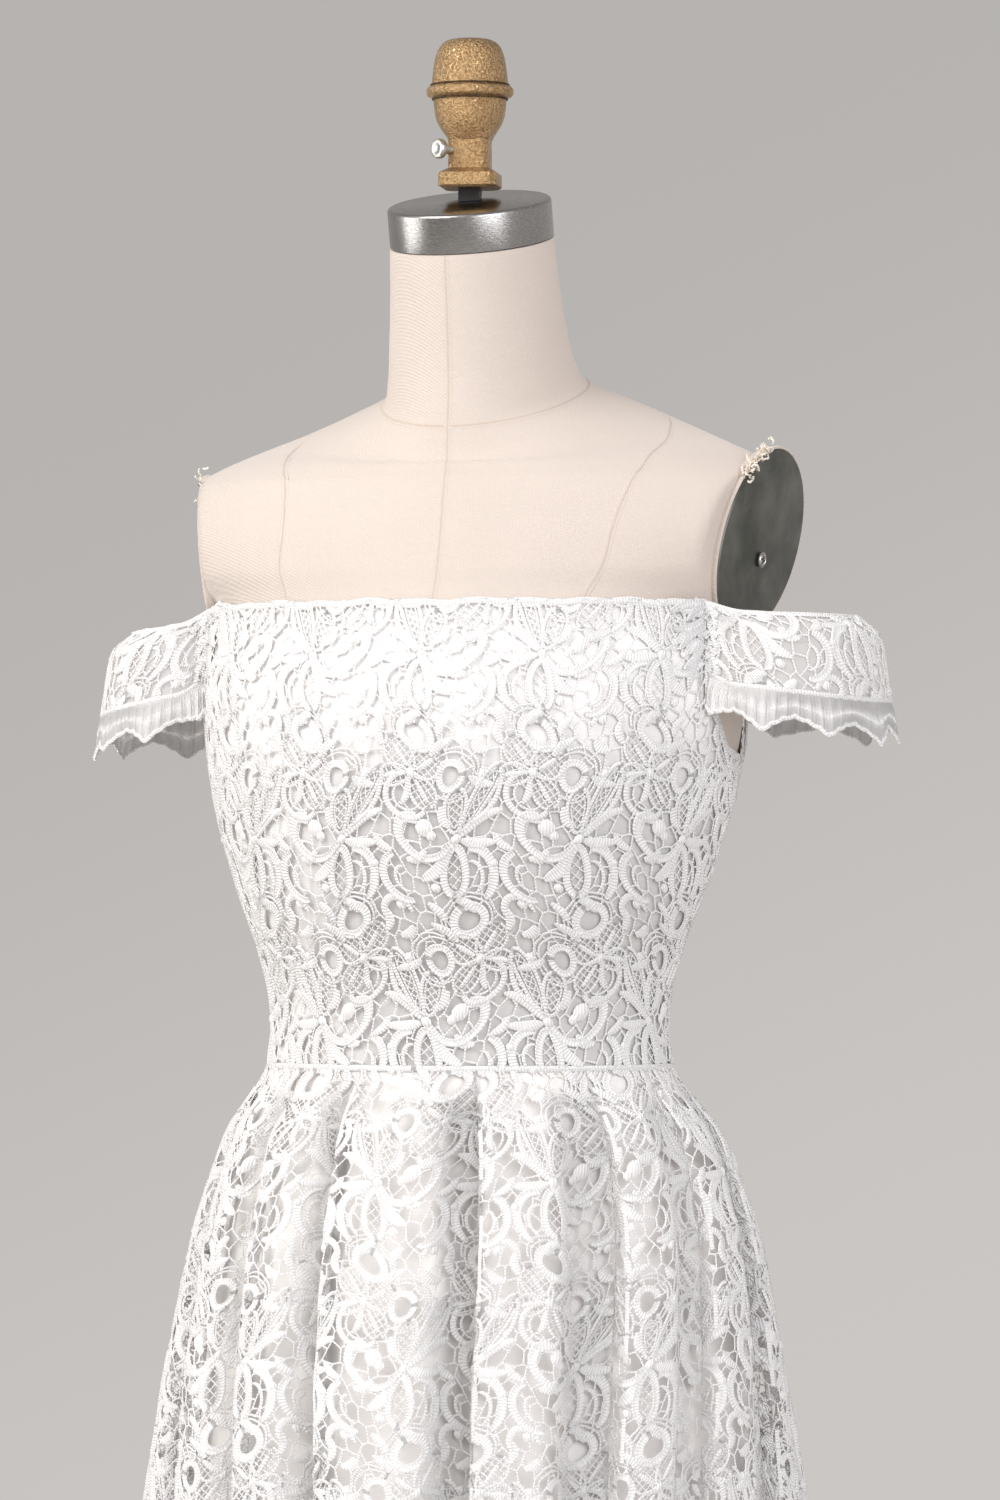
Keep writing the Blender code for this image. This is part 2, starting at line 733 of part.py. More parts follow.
def make_form(finish):
    """Closed smooth torso with neck and hips."""
    angles = [pair[0] for pair in all_columns()][:-1]
    rings = []
    for height, *row in HIP_ROWS:
        rings.append([form_point(a, height, row, 0.0) for a in angles])
    for height in bodice_heights(LINING_DROP):
        row = row_at(BODICE_ROWS, height)
        share = smooth_share((height - WAIST_Z) / WAIST_EASE_HEIGHT)
        inset = FORM_WAIST_INSET + (FORM_INSET - FORM_WAIST_INSET) * share
        ring = []
        for angle in angles:
            under_arm = ARM_COLUMNS[0] <= abs(angle) <= ARM_COLUMNS[1]
            ring.append(form_point(angle, height, row, inset + (ARMHOLE_EASE if under_arm else 0.0)))
        rings.append(ring)
    for height, *row in SHOULDER_ROWS:
        rings.append([form_point(a, height, row, 0.0) for a in angles])
    return loft("form_body", rings, finish)


def loft(name, rings, finish, smooth_angle=35.0):
    """Closed solid through rings that run counter-clockwise seen from above, bottom first."""
    count = len(rings[0])
    points = [point for ring in rings for point in ring]
    faces = []
    for level in range(len(rings) - 1):
        for i in range(count):
            a = level * count + i
            b = level * count + (i + 1) % count
            faces.append((a, b, b + count))
            faces.append((a, b + count, a + count))
    bottom = sum(rings[0], Vector()) / count
    top = sum(rings[-1], Vector()) / count
    points += [bottom, top]
    low = len(points) - 2
    high = len(points) - 1
    last = (len(rings) - 1) * count
    for i in range(count):
        faces.append((low, (i + 1) % count, i))
        faces.append((high, last + i, last + (i + 1) % count))
    return add_object(name, points, faces, finish, smooth_angle)


def turned(name, profile, finish, origin, axis=Vector((0.0, 0.0, 1.0)), sides=24, shape=None):
    """Closed turned solid from (height, radius) rows along an axis, bottom first."""
    spin = Vector((0.0, 0.0, 1.0)).rotation_difference(axis)
    rings = []
    for height, radius, *form in profile:
        ring = []
        for i in range(sides):
            turn = 2.0 * math.pi * i / sides
            grow = shape(turn, form[0]) if shape and form else 1.0
            flat = Vector((radius * grow * math.cos(turn), radius * grow * math.sin(turn), height))
            ring.append(origin + spin @ flat)
        rings.append(ring)
    return loft(name, rings, finish)


def chamfered_square(turn, strength):
    """Radius share of a square with cut corners, blended with a circle."""
    local = (turn - FINIAL_TURN) % (math.pi / 2.0)
    local = min(local, math.pi / 2.0 - local)
    side = 1.0 / math.cos(local)
    corner = FINIAL_CORNER_CUT / math.cos(math.pi / 4.0 - local)
    return 1.0 + strength * (min(side, corner) - 1.0)


def make_neck_plate(finish):
    """Steel cap on the neck, tilted forward, with a low round boss."""
    axis = Vector((0.0, -math.sin(NECK_TILT), math.cos(NECK_TILT)))
    top = NECK_PLATE_HEIGHT
    radius = NECK_PLATE_RADIUS
    profile = (
        (0.0, radius - 0.0008),
        (0.0008, radius),
        (top - 0.0014, radius),
        (top - 0.0004, radius - 0.0006),
        (top, radius - 0.0018),
        (top, NECK_BOSS_RADIUS + 0.0006),
        (top + NECK_BOSS_HEIGHT, NECK_BOSS_RADIUS),
    )
    foot = NECK_TOP_CENTRE + axis * SEAM_GAP
    return turned("neck_plate", profile, finish, foot, axis, PLATE_SIDES)


def make_rod(finish):
    """Square black rod between the neck plate and the finial."""
    half = ROD_SIDE / 2.0
    slope = math.tan(NECK_TILT)
    above = NECK_PLATE_HEIGHT + NECK_BOSS_HEIGHT + 2 * SEAM_GAP
    top_centre = NECK_TOP_CENTRE.z + above / math.cos(NECK_TILT)
    corners = ((-half, -half), (half, -half), (half, half), (-half, half))
    spin = FINIAL_TURN
    low = []
    high = []
    for x, y in corners:
        px = x * math.cos(spin) - y * math.sin(spin)
        py = x * math.sin(spin) + y * math.cos(spin)
        low.append(Vector((px, py, top_centre + (py - NECK_TOP_CENTRE.y) * slope)))
        high.append(Vector((px, py, FINIAL_FOOT_Z - SEAM_GAP)))
    return loft("rod", [low, high], finish)


def make_finial(finish):
    """Cast brass finial: cut-cornered foot and stem, bowl, rim and dome."""
    profile = (
        (0.0000, 0.0160, 1.0),
        (0.0012, 0.0178, 1.0),
        (0.0088, 0.0178, 1.0),
        (0.0106, 0.0150, 1.0),
        (0.0120, 0.0122, 1.0),
        (0.0290, 0.0122, 1.0),
        (0.0325, 0.0150, 0.5),
        (0.0385, 0.0190, 0.1),
        (0.0450, 0.0213, 0.0),
        (0.0545, 0.0222, 0.0),
        (0.0555, 0.0245, 0.0),
        (0.0580, 0.0264, 0.0),
        (0.0608, 0.0262, 0.0),
        (0.0625, 0.0236, 0.0),
        (0.0720, 0.0218, 0.0),
        (0.0810, 0.0196, 0.0),
        (0.0868, 0.0158, 0.0),
        (0.0900, 0.0100, 0.0),
        (0.0912, 0.0040, 0.0),
    )
    foot = Vector((0.0, 0.0, FINIAL_FOOT_Z))
    return turned("finial", profile, finish, foot, sides=FINIAL_SIDES, shape=chamfered_square)


def make_finial_screw(finish):
    """Clamp screw that stands out of the finial's stem."""
    axis = Vector((math.sin(SCREW_AZIMUTH), -math.cos(SCREW_AZIMUTH), 0.0))
    profile = (
        (0.0000, 0.0030),
        (0.0060, 0.0030),
        (0.0062, 0.0050),
        (0.0072, 0.0060),
        (0.0102, 0.0060),
        (0.0110, 0.0050),
        (0.0106, 0.0024),
    )
    foot = Vector((0.0, 0.0, SCREW_Z)) + axis * SCREW_FOOT_RADIUS
    return turned("finial_screw", profile, finish, foot, axis, SCREW_SIDES)


def make_arm_plate(name, side, finish):
    """Oval steel plate over the arm opening."""
    normal = arm_normal()
    level = Vector((0.0, 0.0, 1.0)).cross(normal).normalized()
    up = normal.cross(level)
    bevel = 0.0008
    rings = []
    for depth, shrink in ((0.0, 0.0), (ARM_PLATE_THICK - bevel, 0.0), (ARM_PLATE_THICK, bevel)):
        ring = []
        for i in range(PLATE_SIDES):
            turn = 2.0 * math.pi * i / PLATE_SIDES
            across = (ARM_PLATE_HALF_WIDTH - shrink) * math.cos(turn)
            along = (ARM_PLATE_HALF_HEIGHT - shrink) * math.sin(turn)
            point = ARM_PLATE_CENTRE + normal * (SEAM_GAP + depth) + level * across + up * along
            ring.append(Vector((side * point.x, point.y, point.z)))
        rings.append(ring if side > 0 else ring[::-1])
    return loft(name, rings, finish)


def make_arm_screw(name, side, finish):
    """Domed screw head in the middle of an arm plate."""
    normal = arm_normal()
    level = Vector((0.0, 0.0, 1.0)).cross(normal).normalized()
    up = normal.cross(level)
    foot = ARM_PLATE_CENTRE + normal * (2 * SEAM_GAP + ARM_PLATE_THICK) - up * ARM_SCREW_BELOW
    rings = []
    for depth, radius in ((0.0, 0.0042), (0.0006, 0.0042), (0.0013, 0.0030), (0.0015, 0.0012)):
        ring = []
        for i in range(SCREW_SIDES):
            turn = 2.0 * math.pi * i / SCREW_SIDES
            point = foot + normal * depth + (level * math.cos(turn) + up * math.sin(turn)) * radius
            ring.append(Vector((side * point.x, point.y, point.z)))
        rings.append(ring if side > 0 else ring[::-1])
    return loft(name, rings, finish)


def make_stand(pole_finish, base_finish):
    """Plain pole and round weighted base under the form."""
    base = (
        (0.0, BASE_RADIUS),
        (0.010, BASE_RADIUS),
        (0.016, BASE_RADIUS - 0.008),
        (0.024, 0.050),
        (0.030, 0.026),
        (BASE_TOP_Z, 0.022),
    )
    turned("base", base, base_finish, Vector(), sides=36)
    pole = (
        (0.0, POLE_RADIUS),
        (FORM_BOTTOM_Z - BASE_TOP_Z - 2 * SEAM_GAP, POLE_RADIUS),
    )
    turned("pole", pole, pole_finish, Vector((0.0, 0.0, BASE_TOP_Z + SEAM_GAP)), sides=20)


def make_dress(lace, lining):
    """Bodice, sleeves and skirt, each cut as its maker would cut it."""
    side = PLAIN_SIDE_SEAM
    bodice = (("front", -side, side), ("back_left", side, 180.0), ("back_right", -180.0, -side))
    for place, low, high in bodice:
        bodice_panel(
            "bodice_lining_" + place, low, high,
            LINING_INSET, LINING_WALL, LINING_DROP, False, lining,
        )
        bodice_panel(
            "bodice_lace_" + place, low, high,
            0.0, LACE_WALL, 0.0, True, lace,
        )
    skirt = (
        ("front", SIDE_SEAM_RIGHT, SIDE_SEAM_LEFT),
        ("back_left", SIDE_SEAM_LEFT, BACK_SEAM),
        ("back_right", BACK_SEAM, SIDE_SEAM_RIGHT + 360.0),
    )
    for place, low, high in skirt:
        skirt_panel("skirt_lace_" + place, low, high, lace)
    skirt_lining_panel("skirt_lining_front", -side, side, lining)
    skirt_lining_panel("skirt_lining_back_left", side, 180.0, lining)
    skirt_lining_panel("skirt_lining_back_right", -180.0, -side, lining)
    half = SLEEVE_COLUMNS // 2
    sleeves = (("left", 0.0, 0.0, False), ("right", RIGHT_SLEEVE_SAG, RIGHT_SLEEVE_DRAW, True))
    for place, sag, draw, mirrored in sleeves:
        sleeve_panel("sleeve_" + place + "_front", 0, half, sag, draw, mirrored, lace)
        sleeve_panel("sleeve_" + place + "_back", half, SLEEVE_COLUMNS, sag, draw, mirrored, lace)


def main():
    clear_scene()
    lace = material("lace", (0.84, 0.83, 0.82), 0.75)
    lining = material("lining", (0.74, 0.73, 0.72), 0.55)
    cover = material("form_cover", (0.70, 0.56, 0.44), 0.85)
    steel = material("steel", (0.45, 0.45, 0.45), 0.35, 1.0)
    dark_steel = material("dark_steel", (0.09, 0.09, 0.08), 0.45, 0.8)
    brass = material("brass", (0.55, 0.33, 0.13), 0.45, 1.0)
    zinc = material("zinc", (0.62, 0.62, 0.62), 0.35, 1.0)
    black = material("black_metal", (0.01, 0.01, 0.01), 0.35, 0.3)
    make_form(cover)
    make_neck_plate(steel)
    make_rod(black)
    make_finial(brass)
    make_finial_screw(zinc)
    for name, side in (("left", 1.0), ("right", -1.0)):
        make_arm_plate("arm_plate_" + name, side, dark_steel)
        make_arm_screw("arm_screw_" + name, side, zinc)
    make_stand(steel, black)
    make_dress(lace, lining)


main()
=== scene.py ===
"""Looks of an off-the-shoulder wedding dress of guipure lace on a limbless dress form.

Metres, +Z up. The wearer faces -Y and the wearer's left is +X.
Lace is drawn flat in millimetres and laid on the cloth.
"""
import math

import bpy
import numpy as np
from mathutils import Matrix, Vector


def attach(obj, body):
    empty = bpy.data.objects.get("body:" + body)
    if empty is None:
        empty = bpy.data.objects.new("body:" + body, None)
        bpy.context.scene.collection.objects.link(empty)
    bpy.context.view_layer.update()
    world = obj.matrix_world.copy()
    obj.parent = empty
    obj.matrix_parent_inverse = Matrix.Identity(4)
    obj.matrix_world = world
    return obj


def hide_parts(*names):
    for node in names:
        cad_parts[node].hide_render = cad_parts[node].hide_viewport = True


bl_info = {
    "name": "Wedding dress on a dress form",
    "version": (1, 0, 0),
    "blender": (4, 5, 0),
    "location": "View3D > Sidebar > Dress",
    "description": "Builds the lace, lining, form and fittings of a wedding dress round its fixed frame",
    "category": "Object",
}

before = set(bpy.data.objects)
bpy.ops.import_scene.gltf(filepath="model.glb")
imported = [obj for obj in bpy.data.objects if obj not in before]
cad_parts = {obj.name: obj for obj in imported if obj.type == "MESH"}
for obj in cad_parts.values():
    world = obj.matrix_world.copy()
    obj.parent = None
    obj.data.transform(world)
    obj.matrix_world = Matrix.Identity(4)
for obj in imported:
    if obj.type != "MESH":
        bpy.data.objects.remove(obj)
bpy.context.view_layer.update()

MM = 0.001

# Heights and sizes shared with the frame
WAIST_Z = 1.040
NECKLINE_Z = 1.319
ARMHOLE_CORNER_Z = 1.262
ARMHOLE_BOTTOM_Z = 1.226
HEM_Z = 0.320
LINING_HEM_Z = 0.345
NECK_TOP_Z = 1.5395
NECK_BASE_Z = 1.449
FORM_BOTTOM_Z = 0.838
FORM_INSET = 0.00345
FORM_WAIST_INSET = 0.0053
WAIST_EASE_HEIGHT = 0.060
# Middles of the arm plates, each measured out from the centre to its own side
ARM_PLATE_CENTRES = {"left": np.array((0.1714, 0.0320, 1.3560)), "right": np.array((0.1736, 0.0320, 1.3450))}
ARM_PLATE_FORWARD = math.radians(10.0)
ARM_PLATE_DOWN = math.radians(8.0)
ARM_PLATE_HALF = (0.0480, 0.0610)
ARM_PLATE_LEAN = math.radians(34.0)
ARM_FLAT_FROM_Z = 1.300
NECK_TILT = math.radians(14.0)
NECK_TOP_CENTRE = Vector((0.0, 0.0040, NECK_TOP_Z))
FINIAL_FOOT_Z = 1.5715
FINIAL_TURN = math.radians(11.0)
SCREW_AZIMUTH = math.radians(-34.0)
SCREW_Z = 1.5945

# Outer face of the bodice: z, half width, front depth, back depth, centre y
BODICE_ROWS = (
    (WAIST_Z, 0.1250, 0.0970, 0.0900, 0.000),
    (1.066, 0.1225, 0.0965, 0.0880, 0.000),
    (1.100, 0.1280, 0.1015, 0.0915, 0.000),
    (1.145, 0.1440, 0.1160, 0.1010, 0.002),
    (1.200, 0.1610, 0.1300, 0.1090, 0.008),
    (ARMHOLE_CORNER_Z, 0.1705, 0.1300, 0.1120, 0.014),
    (NECKLINE_Z, 0.1710, 0.1100, 0.1100, 0.020),
)

# Raised face of the skirt: z, half width, front depth, back depth, centre y, pleat depth
SKIRT_ROWS = (
    (WAIST_Z, 0.1250, 0.0970, 0.0900, 0.000, 0.0000),
    (1.000, 0.1525, 0.1205, 0.1190, 0.006, 0.0065),
    (0.940, 0.1735, 0.1430, 0.1480, 0.010, 0.0120),
    (0.850, 0.1910, 0.1680, 0.1710, 0.009, 0.0160),
    (0.720, 0.2120, 0.1940, 0.1960, 0.009, 0.0185),
    (0.590, 0.2330, 0.2165, 0.2185, 0.009, 0.0200),
    (0.455, 0.2550, 0.2395, 0.2415, 0.009, 0.0210),
    (HEM_Z, 0.2770, 0.2620, 0.2640, 0.009, 0.0220),
)

# Shoulders and neck of the form: z, half width, front depth, back depth, centre y, rise to the back
SHOULDER_ROWS = (
    (1.340, 0.1940, 0.1080, 0.0965, 0.029, 0.00),
    (1.360, 0.2040, 0.1050, 0.0910, 0.032, 0.00),
    (1.380, 0.2010, 0.1010, 0.0850, 0.035, 0.00),
    (1.395, 0.1890, 0.0980, 0.0790, 0.038, 0.02),
    (1.405, 0.1750, 0.0950, 0.0745, 0.0395, 0.08),
    (1.416, 0.1500, 0.0920, 0.0690, 0.041, 0.15),
    (1.427, 0.1210, 0.0910, 0.0610, 0.0450, 0.25),
    (1.438, 0.0920, 0.0860, 0.0560, 0.0425, 0.31),
    (NECK_BASE_Z, 0.0630, 0.0730, 0.0590, 0.0310, 0.33),
    (1.462, 0.0565, 0.0615, 0.0595, 0.0215, 0.32),
    (1.480, 0.0540, 0.0550, 0.0570, 0.015, 0.31),
    (1.508, 0.0515, 0.0515, 0.0525, 0.009, 0.27),
    (NECK_TOP_Z, 0.0500, 0.0500, 0.0500, 0.004, math.tan(NECK_TILT)),
)

# Hips of the form, from the bottom up: z, half width, front depth, back depth, centre y
HIP_ROWS = (
    (FORM_BOTTOM_Z, 0.1480, 0.1180, 0.1240, 0.009),
    (0.850, 0.1560, 0.1260, 0.1320, 0.009),
    (0.890, 0.1560, 0.1270, 0.1330, 0.009),
    (0.940, 0.1500, 0.1210, 0.1260, 0.009),
    (1.000, 0.1350, 0.1040, 0.1040, 0.005),
)

# Top edge of the bodice on the wearer's left: degrees from the centre front, height
TOP_EDGE = (
    (0.0, NECKLINE_Z), (66.0, NECKLINE_Z), (70.0, ARMHOLE_CORNER_Z), (82.0, 1.231), (94.0, ARMHOLE_BOTTOM_Z),
    (105.0, 1.236), (114.0, ARMHOLE_CORNER_Z), (118.0, NECKLINE_Z), (180.0, NECKLINE_Z),
)

# Pleats round the skirt: angle of the sharp edge, width of the raised panel, depth share
PLEATS = (
    (-81.0, 12.0, 0.90), (-61.0, 10.0, 0.85), (-43.0, 9.5, 0.80), (-26.0, 9.0, 0.90), (-9.7, 17.5, 1.00),
    (16.0, 12.5, 1.00), (40.0, 9.5, 0.80), (59.0, 11.0, 0.75), (79.0, 10.5, 0.85), (101.0, 12.0, 0.95),
    (124.0, 12.0, 1.00), (146.0, 11.0, 0.90), (166.0, 9.0, 1.00), (187.0, 10.0, 1.00), (209.0, 12.5, 0.90),
    (233.0, 11.5, 1.00), (256.0, 12.0, 0.90),
)
PLEAT_STEP = -0.7
TURN_STEPS = 5
PLEAT_FALL = 3.6
# Pleats whose lace is one piece
SKIRT_GROUPS = (
    ("front", (2, 3, 4, 5)), ("left_front", (6, 7)), ("left", (8, 9, 10)), ("back", (11, 12, 13)),
    ("right", (14, 15, 16)), ("right_front", (0, 1)),
)
WAIST_SPREAD = 0.36
SPREAD_CENTRE = 15.0
SPREAD_END_Z = 0.66

# Path of a sleeve loop seen from above, between its two ends: share of the way, x, y
SLEEVE_PATH = (
    (0.17, 0.1930, -0.0350), (0.34, 0.2280, -0.0190), (0.50, 0.2470, 0.0170),
    (0.66, 0.2430, 0.0580), (0.83, 0.2090, 0.0880),
)
# Side view of a sleeve from the top down: share of its height, outward offset
SLEEVE_PROFILE = ((0.00, -0.0150), (0.13, -0.0030), (0.45, 0.0020), (0.78, 0.0050), (1.00, 0.0030))
SLEEVE_TOP_Z = 1.3170
SLEEVE_HEIGHTS = (0.0660, 0.0790)
SLEEVE_SEAM = 0.64
# How the two sleeves hang: drop all along, sag at the middle, draw inwards
SLEEVE_HANG = {"left": (0.0050, 0.0020, 0.0000), "right": (0.0075, 0.0060, 0.0060)}
# Where gathers cross the ends of a sleeve: column of its grid, distance into the bodice
SLEEVE_JOINS = ((0, 0.0042), (0, 0.0), (2, 0.0), (5, 0.0), (-1, 0.0), (-4, 0.0))
SLEEVE_TIPS = (0.035, 0.185, 0.340, 0.490, 0.640, 0.790, 0.935)
TIP_SHARES = (0.6, 0.9, 0.8, 1.0, 0.9, 1.0, 0.7)
BORDER_VALLEY = 0.0145
BORDER_TIP = 0.0260
BORDER_RIBS = 38

# How the cloth lies: linings in metres under the face, lace in millimetres over it
LINING_DEPTH = 0.0020
LINING_BELOW_EDGE = 0.002
# Painted shade on the bodice lining under the bust: height it starts at, height it deepens over, strength,
# least share on the lit side, and where across the body it lessens and over how far
UNDER_BUST_Z = 1.265
UNDER_BUST_FADE = 0.08
UNDER_BUST_SHADE = 0.58
UNDER_BUST_LEAST = 0.15
UNDER_BUST_LIT_X = -0.115
UNDER_BUST_TURN = 0.12
# More of how the cloth lies
SKIRT_LINING_GAP = 0.0042
LACE_CLEAR = 0.1
PANEL_BULGE = 0.07
RECESS_SAG = 0.05
# Where the lace's repeat starts on each piece, in millimetres along and down
FRONT_PHASE = (10.0, -36.0)
LEFT_BACK_PHASE = (20.0, -20.0)
RIGHT_BACK_PHASE = (40.0, -20.0)
SKIRT_PHASE = (6.0, 0.0)
SLEEVE_PHASES = {"left": (-6.0, -64.0), "right": (14.0, -66.0)}
PLEAT_HIDDEN = 18.0
# Painted shade in the pleats: reach from a sharp edge, and where round the skirt it is strongest, in degrees
SHADE_REACH = 3.2
SHADE_MIDDLE = 4.0
SHADE_SPREAD = 30.0
# Metres below the waist that it fades over, and its share away from sharp edges and at the sides
SHADE_FADE = 0.03
SHADE_OPEN = 0.74
SHADE_AT_SIDES = 0.45

# Seams of the form's cover: degrees from the centre front and height, top first
FORM_SEAMS = {
    "centre_front": ((0.0, 1.539), (0.0, 1.480), (0.3, 1.440), (1.3, 1.400), (1.9, 1.350), (2.0, 1.310)),
    "princess_left": (
        (98.0, 1.431), (78.0, 1.427), (53.0, 1.416), (38.8, 1.396), (32.2, 1.360), (35.2, 1.310)),
    "princess_right": ((-72.0, 1.428), (-48.0, 1.416), (-33.5, 1.396), (-29.0, 1.360), (-35.4, 1.310)),
    "centre_back": tuple((180.0, height) for height in (1.539, 1.480, 1.440, 1.400, 1.350, 1.310)),
    "neck_base": tuple((-180.0 + 22.5 * k, NECK_BASE_Z) for k in range(17)),
}
SEAM_RIDGE = ((-1.0, 0.0), (-0.45, 1.0), (0.0, -0.2), (0.45, 1.0), (1.0, 0.0))
SEAM_THREAD = ((-1.0, 0.6), (0.0, 1.0), (1.0, 0.6))
SEAM_RIDGE_SIZE = (0.0050, 0.0005)
STITCH_HEIGHT = 0.0004
STITCH_WIDTHS = {"princess_left": 0.0007, "princess_right": 0.0007}
STITCH_WIDTH = 0.0010

# Width and height of the dress's cords
NECKLINE_CORD = (0.0042, 0.0012)
WAIST_CORD = (0.0036, 0.0017)
PLEAT_EDGE_CORD = (0.0026, 0.0008)
HEM_CORD = (0.0050, 0.0014)
SLEEVE_JOIN_CORD = (0.0048, 0.0017)
SLEEVE_CORD_WIDTHS = {"top": 0.0036, "seam": 0.0030, "tips": 0.0026}
SLEEVE_CORD_HEIGHT = 0.0014
FRAYED_THREAD = (0.0014, 0.0008)

# Degrees from the centre front of the side seams and a sleeve's two ends, and how far those slant
SIDE_SEAM = 94.0
SLEEVE_FRONT = 66.14
SLEEVE_BACK = 117.86
SLEEVE_SLANT = 4.0

# Turned pieces along their axis: height, radius and, on the finial, how square
NECK_CAP = (
    (0.0, 0.0494), (0.0006, 0.0500), (0.0216, 0.0500), (0.0228, 0.0497), (0.0236, 0.0490), (0.0240, 0.0480),
    (0.0240, 0.0190), (0.0243, 0.0178), (0.0248, 0.0150), (0.0251, 0.0110), (0.0252, 0.0070),
)
FINIAL_STEM = (
    (0.0000, 0.0160, 1.0), (0.0012, 0.0178, 1.0), (0.0088, 0.0178, 1.0), (0.0106, 0.0150, 1.0),
    (0.0120, 0.0122, 1.0), (0.0290, 0.0122, 1.0),
)
FINIAL_BOWL = (
    (0.0290, 0.0122, 1.0), (0.0325, 0.0150, 0.5), (0.0385, 0.0190, 0.1), (0.0450, 0.0213, 0.0),
    (0.0545, 0.0222, 0.0),
)
FINIAL_RIM = (
    (0.0549, 0.0232, 0.0), (0.0562, 0.0256, 0.0), (0.0580, 0.0264, 0.0), (0.0606, 0.0262, 0.0),
    (0.0622, 0.0244, 0.0), (0.0627, 0.0234, 0.0),
)
FINIAL_DOME = (
    (0.0630, 0.0233, 0.0), (0.0715, 0.0224, 0.0), (0.0800, 0.0209, 0.0), (0.0862, 0.0184, 0.0),
    (0.0898, 0.0142, 0.0), (0.0910, 0.0088, 0.0), (0.0912, 0.0030, 0.0),
)
# Rings of painted shade on the finial, under its rim and over it: name, bottom, top, radius
FINIAL_PAINTED_SHADE = (("under_rim", 0.0536, 0.0551, 0.0231), ("over_rim", 0.0623, 0.0636, 0.0242))
CLAMP_SCREW = (
    (0.0, 0.0030), (0.0060, 0.0030), (0.0061, 0.0046), (0.0066, 0.0056), (0.0074, 0.0060), (0.0100, 0.0060),
    (0.0107, 0.0056), (0.0110, 0.0048), (0.0108, 0.0030), (0.0104, 0.0022),
)
CLAMP_SCREW_OUT = 0.0147
ARM_SCREW = (
    (0.0, 0.0047), (0.0007, 0.0047), (0.0009, 0.0043), (0.0004, 0.0039), (0.0003, 0.0036), (0.0009, 0.0031),
    (0.0011, 0.0022), (0.0012, 0.0010),
)
ARM_SCREW_DROP = 0.0105
STAND_FOOT = (
    (0.0, 0.1890), (0.0006, 0.1900), (0.0090, 0.1900), (0.0110, 0.1892), (0.0130, 0.1870),
    (0.0150, 0.1835), (0.0160, 0.1800), (0.0200, 0.1150), (0.0240, 0.0500), (0.0262, 0.0340),
    (0.0300, 0.0262), (0.0340, 0.0240), (0.0540, 0.0222), (0.0570, 0.0214), (0.0580, 0.0200),
)
POLE_FOOT_Z = 0.0583
STAND_POLE = (
    (0.0, 0.0124), (0.0004, 0.0127), (FORM_BOTTOM_Z - 0.0590, 0.0127), (FORM_BOTTOM_Z - 0.0586, 0.0124),
)
# Rings round an arm plate: depth out, growth
ARM_CAP = ((-0.0010, 0.0), (0.0030, 0.0), (0.0038, -0.0009), (0.0040, -0.0020))
COVER_EDGE = (
    (-0.0360, -0.0300), (-0.0160, -0.0110), (-0.0040, 0.0004), (0.0015, 0.0017), (0.0030, 0.0016),
    (0.0034, 0.0009), (0.0029, 0.0001),
)
# Frayed threads round an arm plate: side, shares of the way round, how many, about how long
FRAYED = ((1.0, (0.375, 0.475), 64, 0.008), (-1.0, (0.34, 0.46), 12, 0.006))

# Studio: backdrop tones, lights (name, place, size, power, tone) and camera
BACKDROP_LOW = "#cbc7c4"
BACKDROP_HIGH = "#b6b3b0"
BACKDROP_RISE = 0.10
BACKDROP_SIDE = 0.45
SOFT_LIGHTS = (
    ("window_light", (-2.1, -3.2, 4.3), 3.0, 188.0, "#fffdfb"),
    ("fill_light", (3.2, -3.1, 2.4), 3.0, 118.0, "#f9faff"),
    ("side_card", (-3.7, -1.3, 1.7), 1.9, 44.0, "#fffefc"),
)
LIGHTS_AIM = (0.0, 0.0, 1.2)
VIEW_LENS = 178.2
VIEW_HEIGHT = 1.152
VIEW_SIDE = 0.0182
VIEW_TARGET_Z = 1.2308

# Lace repeat, in millimetres
LACE_WIDTH = 73.0
LACE_HALF_HEIGHT = 112.0
LACE_ROW_SHIFT = 21.0
GROUND_COLUMNS = 8
GROUND_ROWS = 11
GROUND_UNEVEN = 2.2
GROUND_BAR = 1.05
SIDE_DRIFT = 2.4
DOWN_DRIFT = 4.2

CORD = ((-1.0, 0.0), (0.0, 1.0), (1.0, 0.0))
DOUBLE_CORD = ((-1.0, 0.0), (-0.72, 1.0), (0.0, 0.40), (0.72, 1.0), (1.0, 0.0))
RIMMED = ((-1.0, 0.0), (-0.80, 1.0), (-0.52, 0.38), (0.52, 0.38), (0.80, 1.0), (1.0, 0.0))
VEINED = ((-1.0, 0.0), (-0.78, 1.0), (-0.45, 0.35), (0.0, 0.75), (0.45, 0.35), (0.78, 1.0), (1.0, 0.0))


def unit(ways):
    """Ways with their length made one."""
    return ways / np.maximum(np.linalg.norm(ways, axis=-1, keepdims=True), 1e-12)


def lengths_along(points, axis=0):
    """Length run so far at each point of a path, or of a grid's rows (axis 1) or columns (axis 0)."""
    run = np.cumsum(np.linalg.norm(np.diff(points, axis=axis), axis=-1), axis)
    return np.concatenate([np.zeros_like(np.take(run, [0], axis)), run], axis)


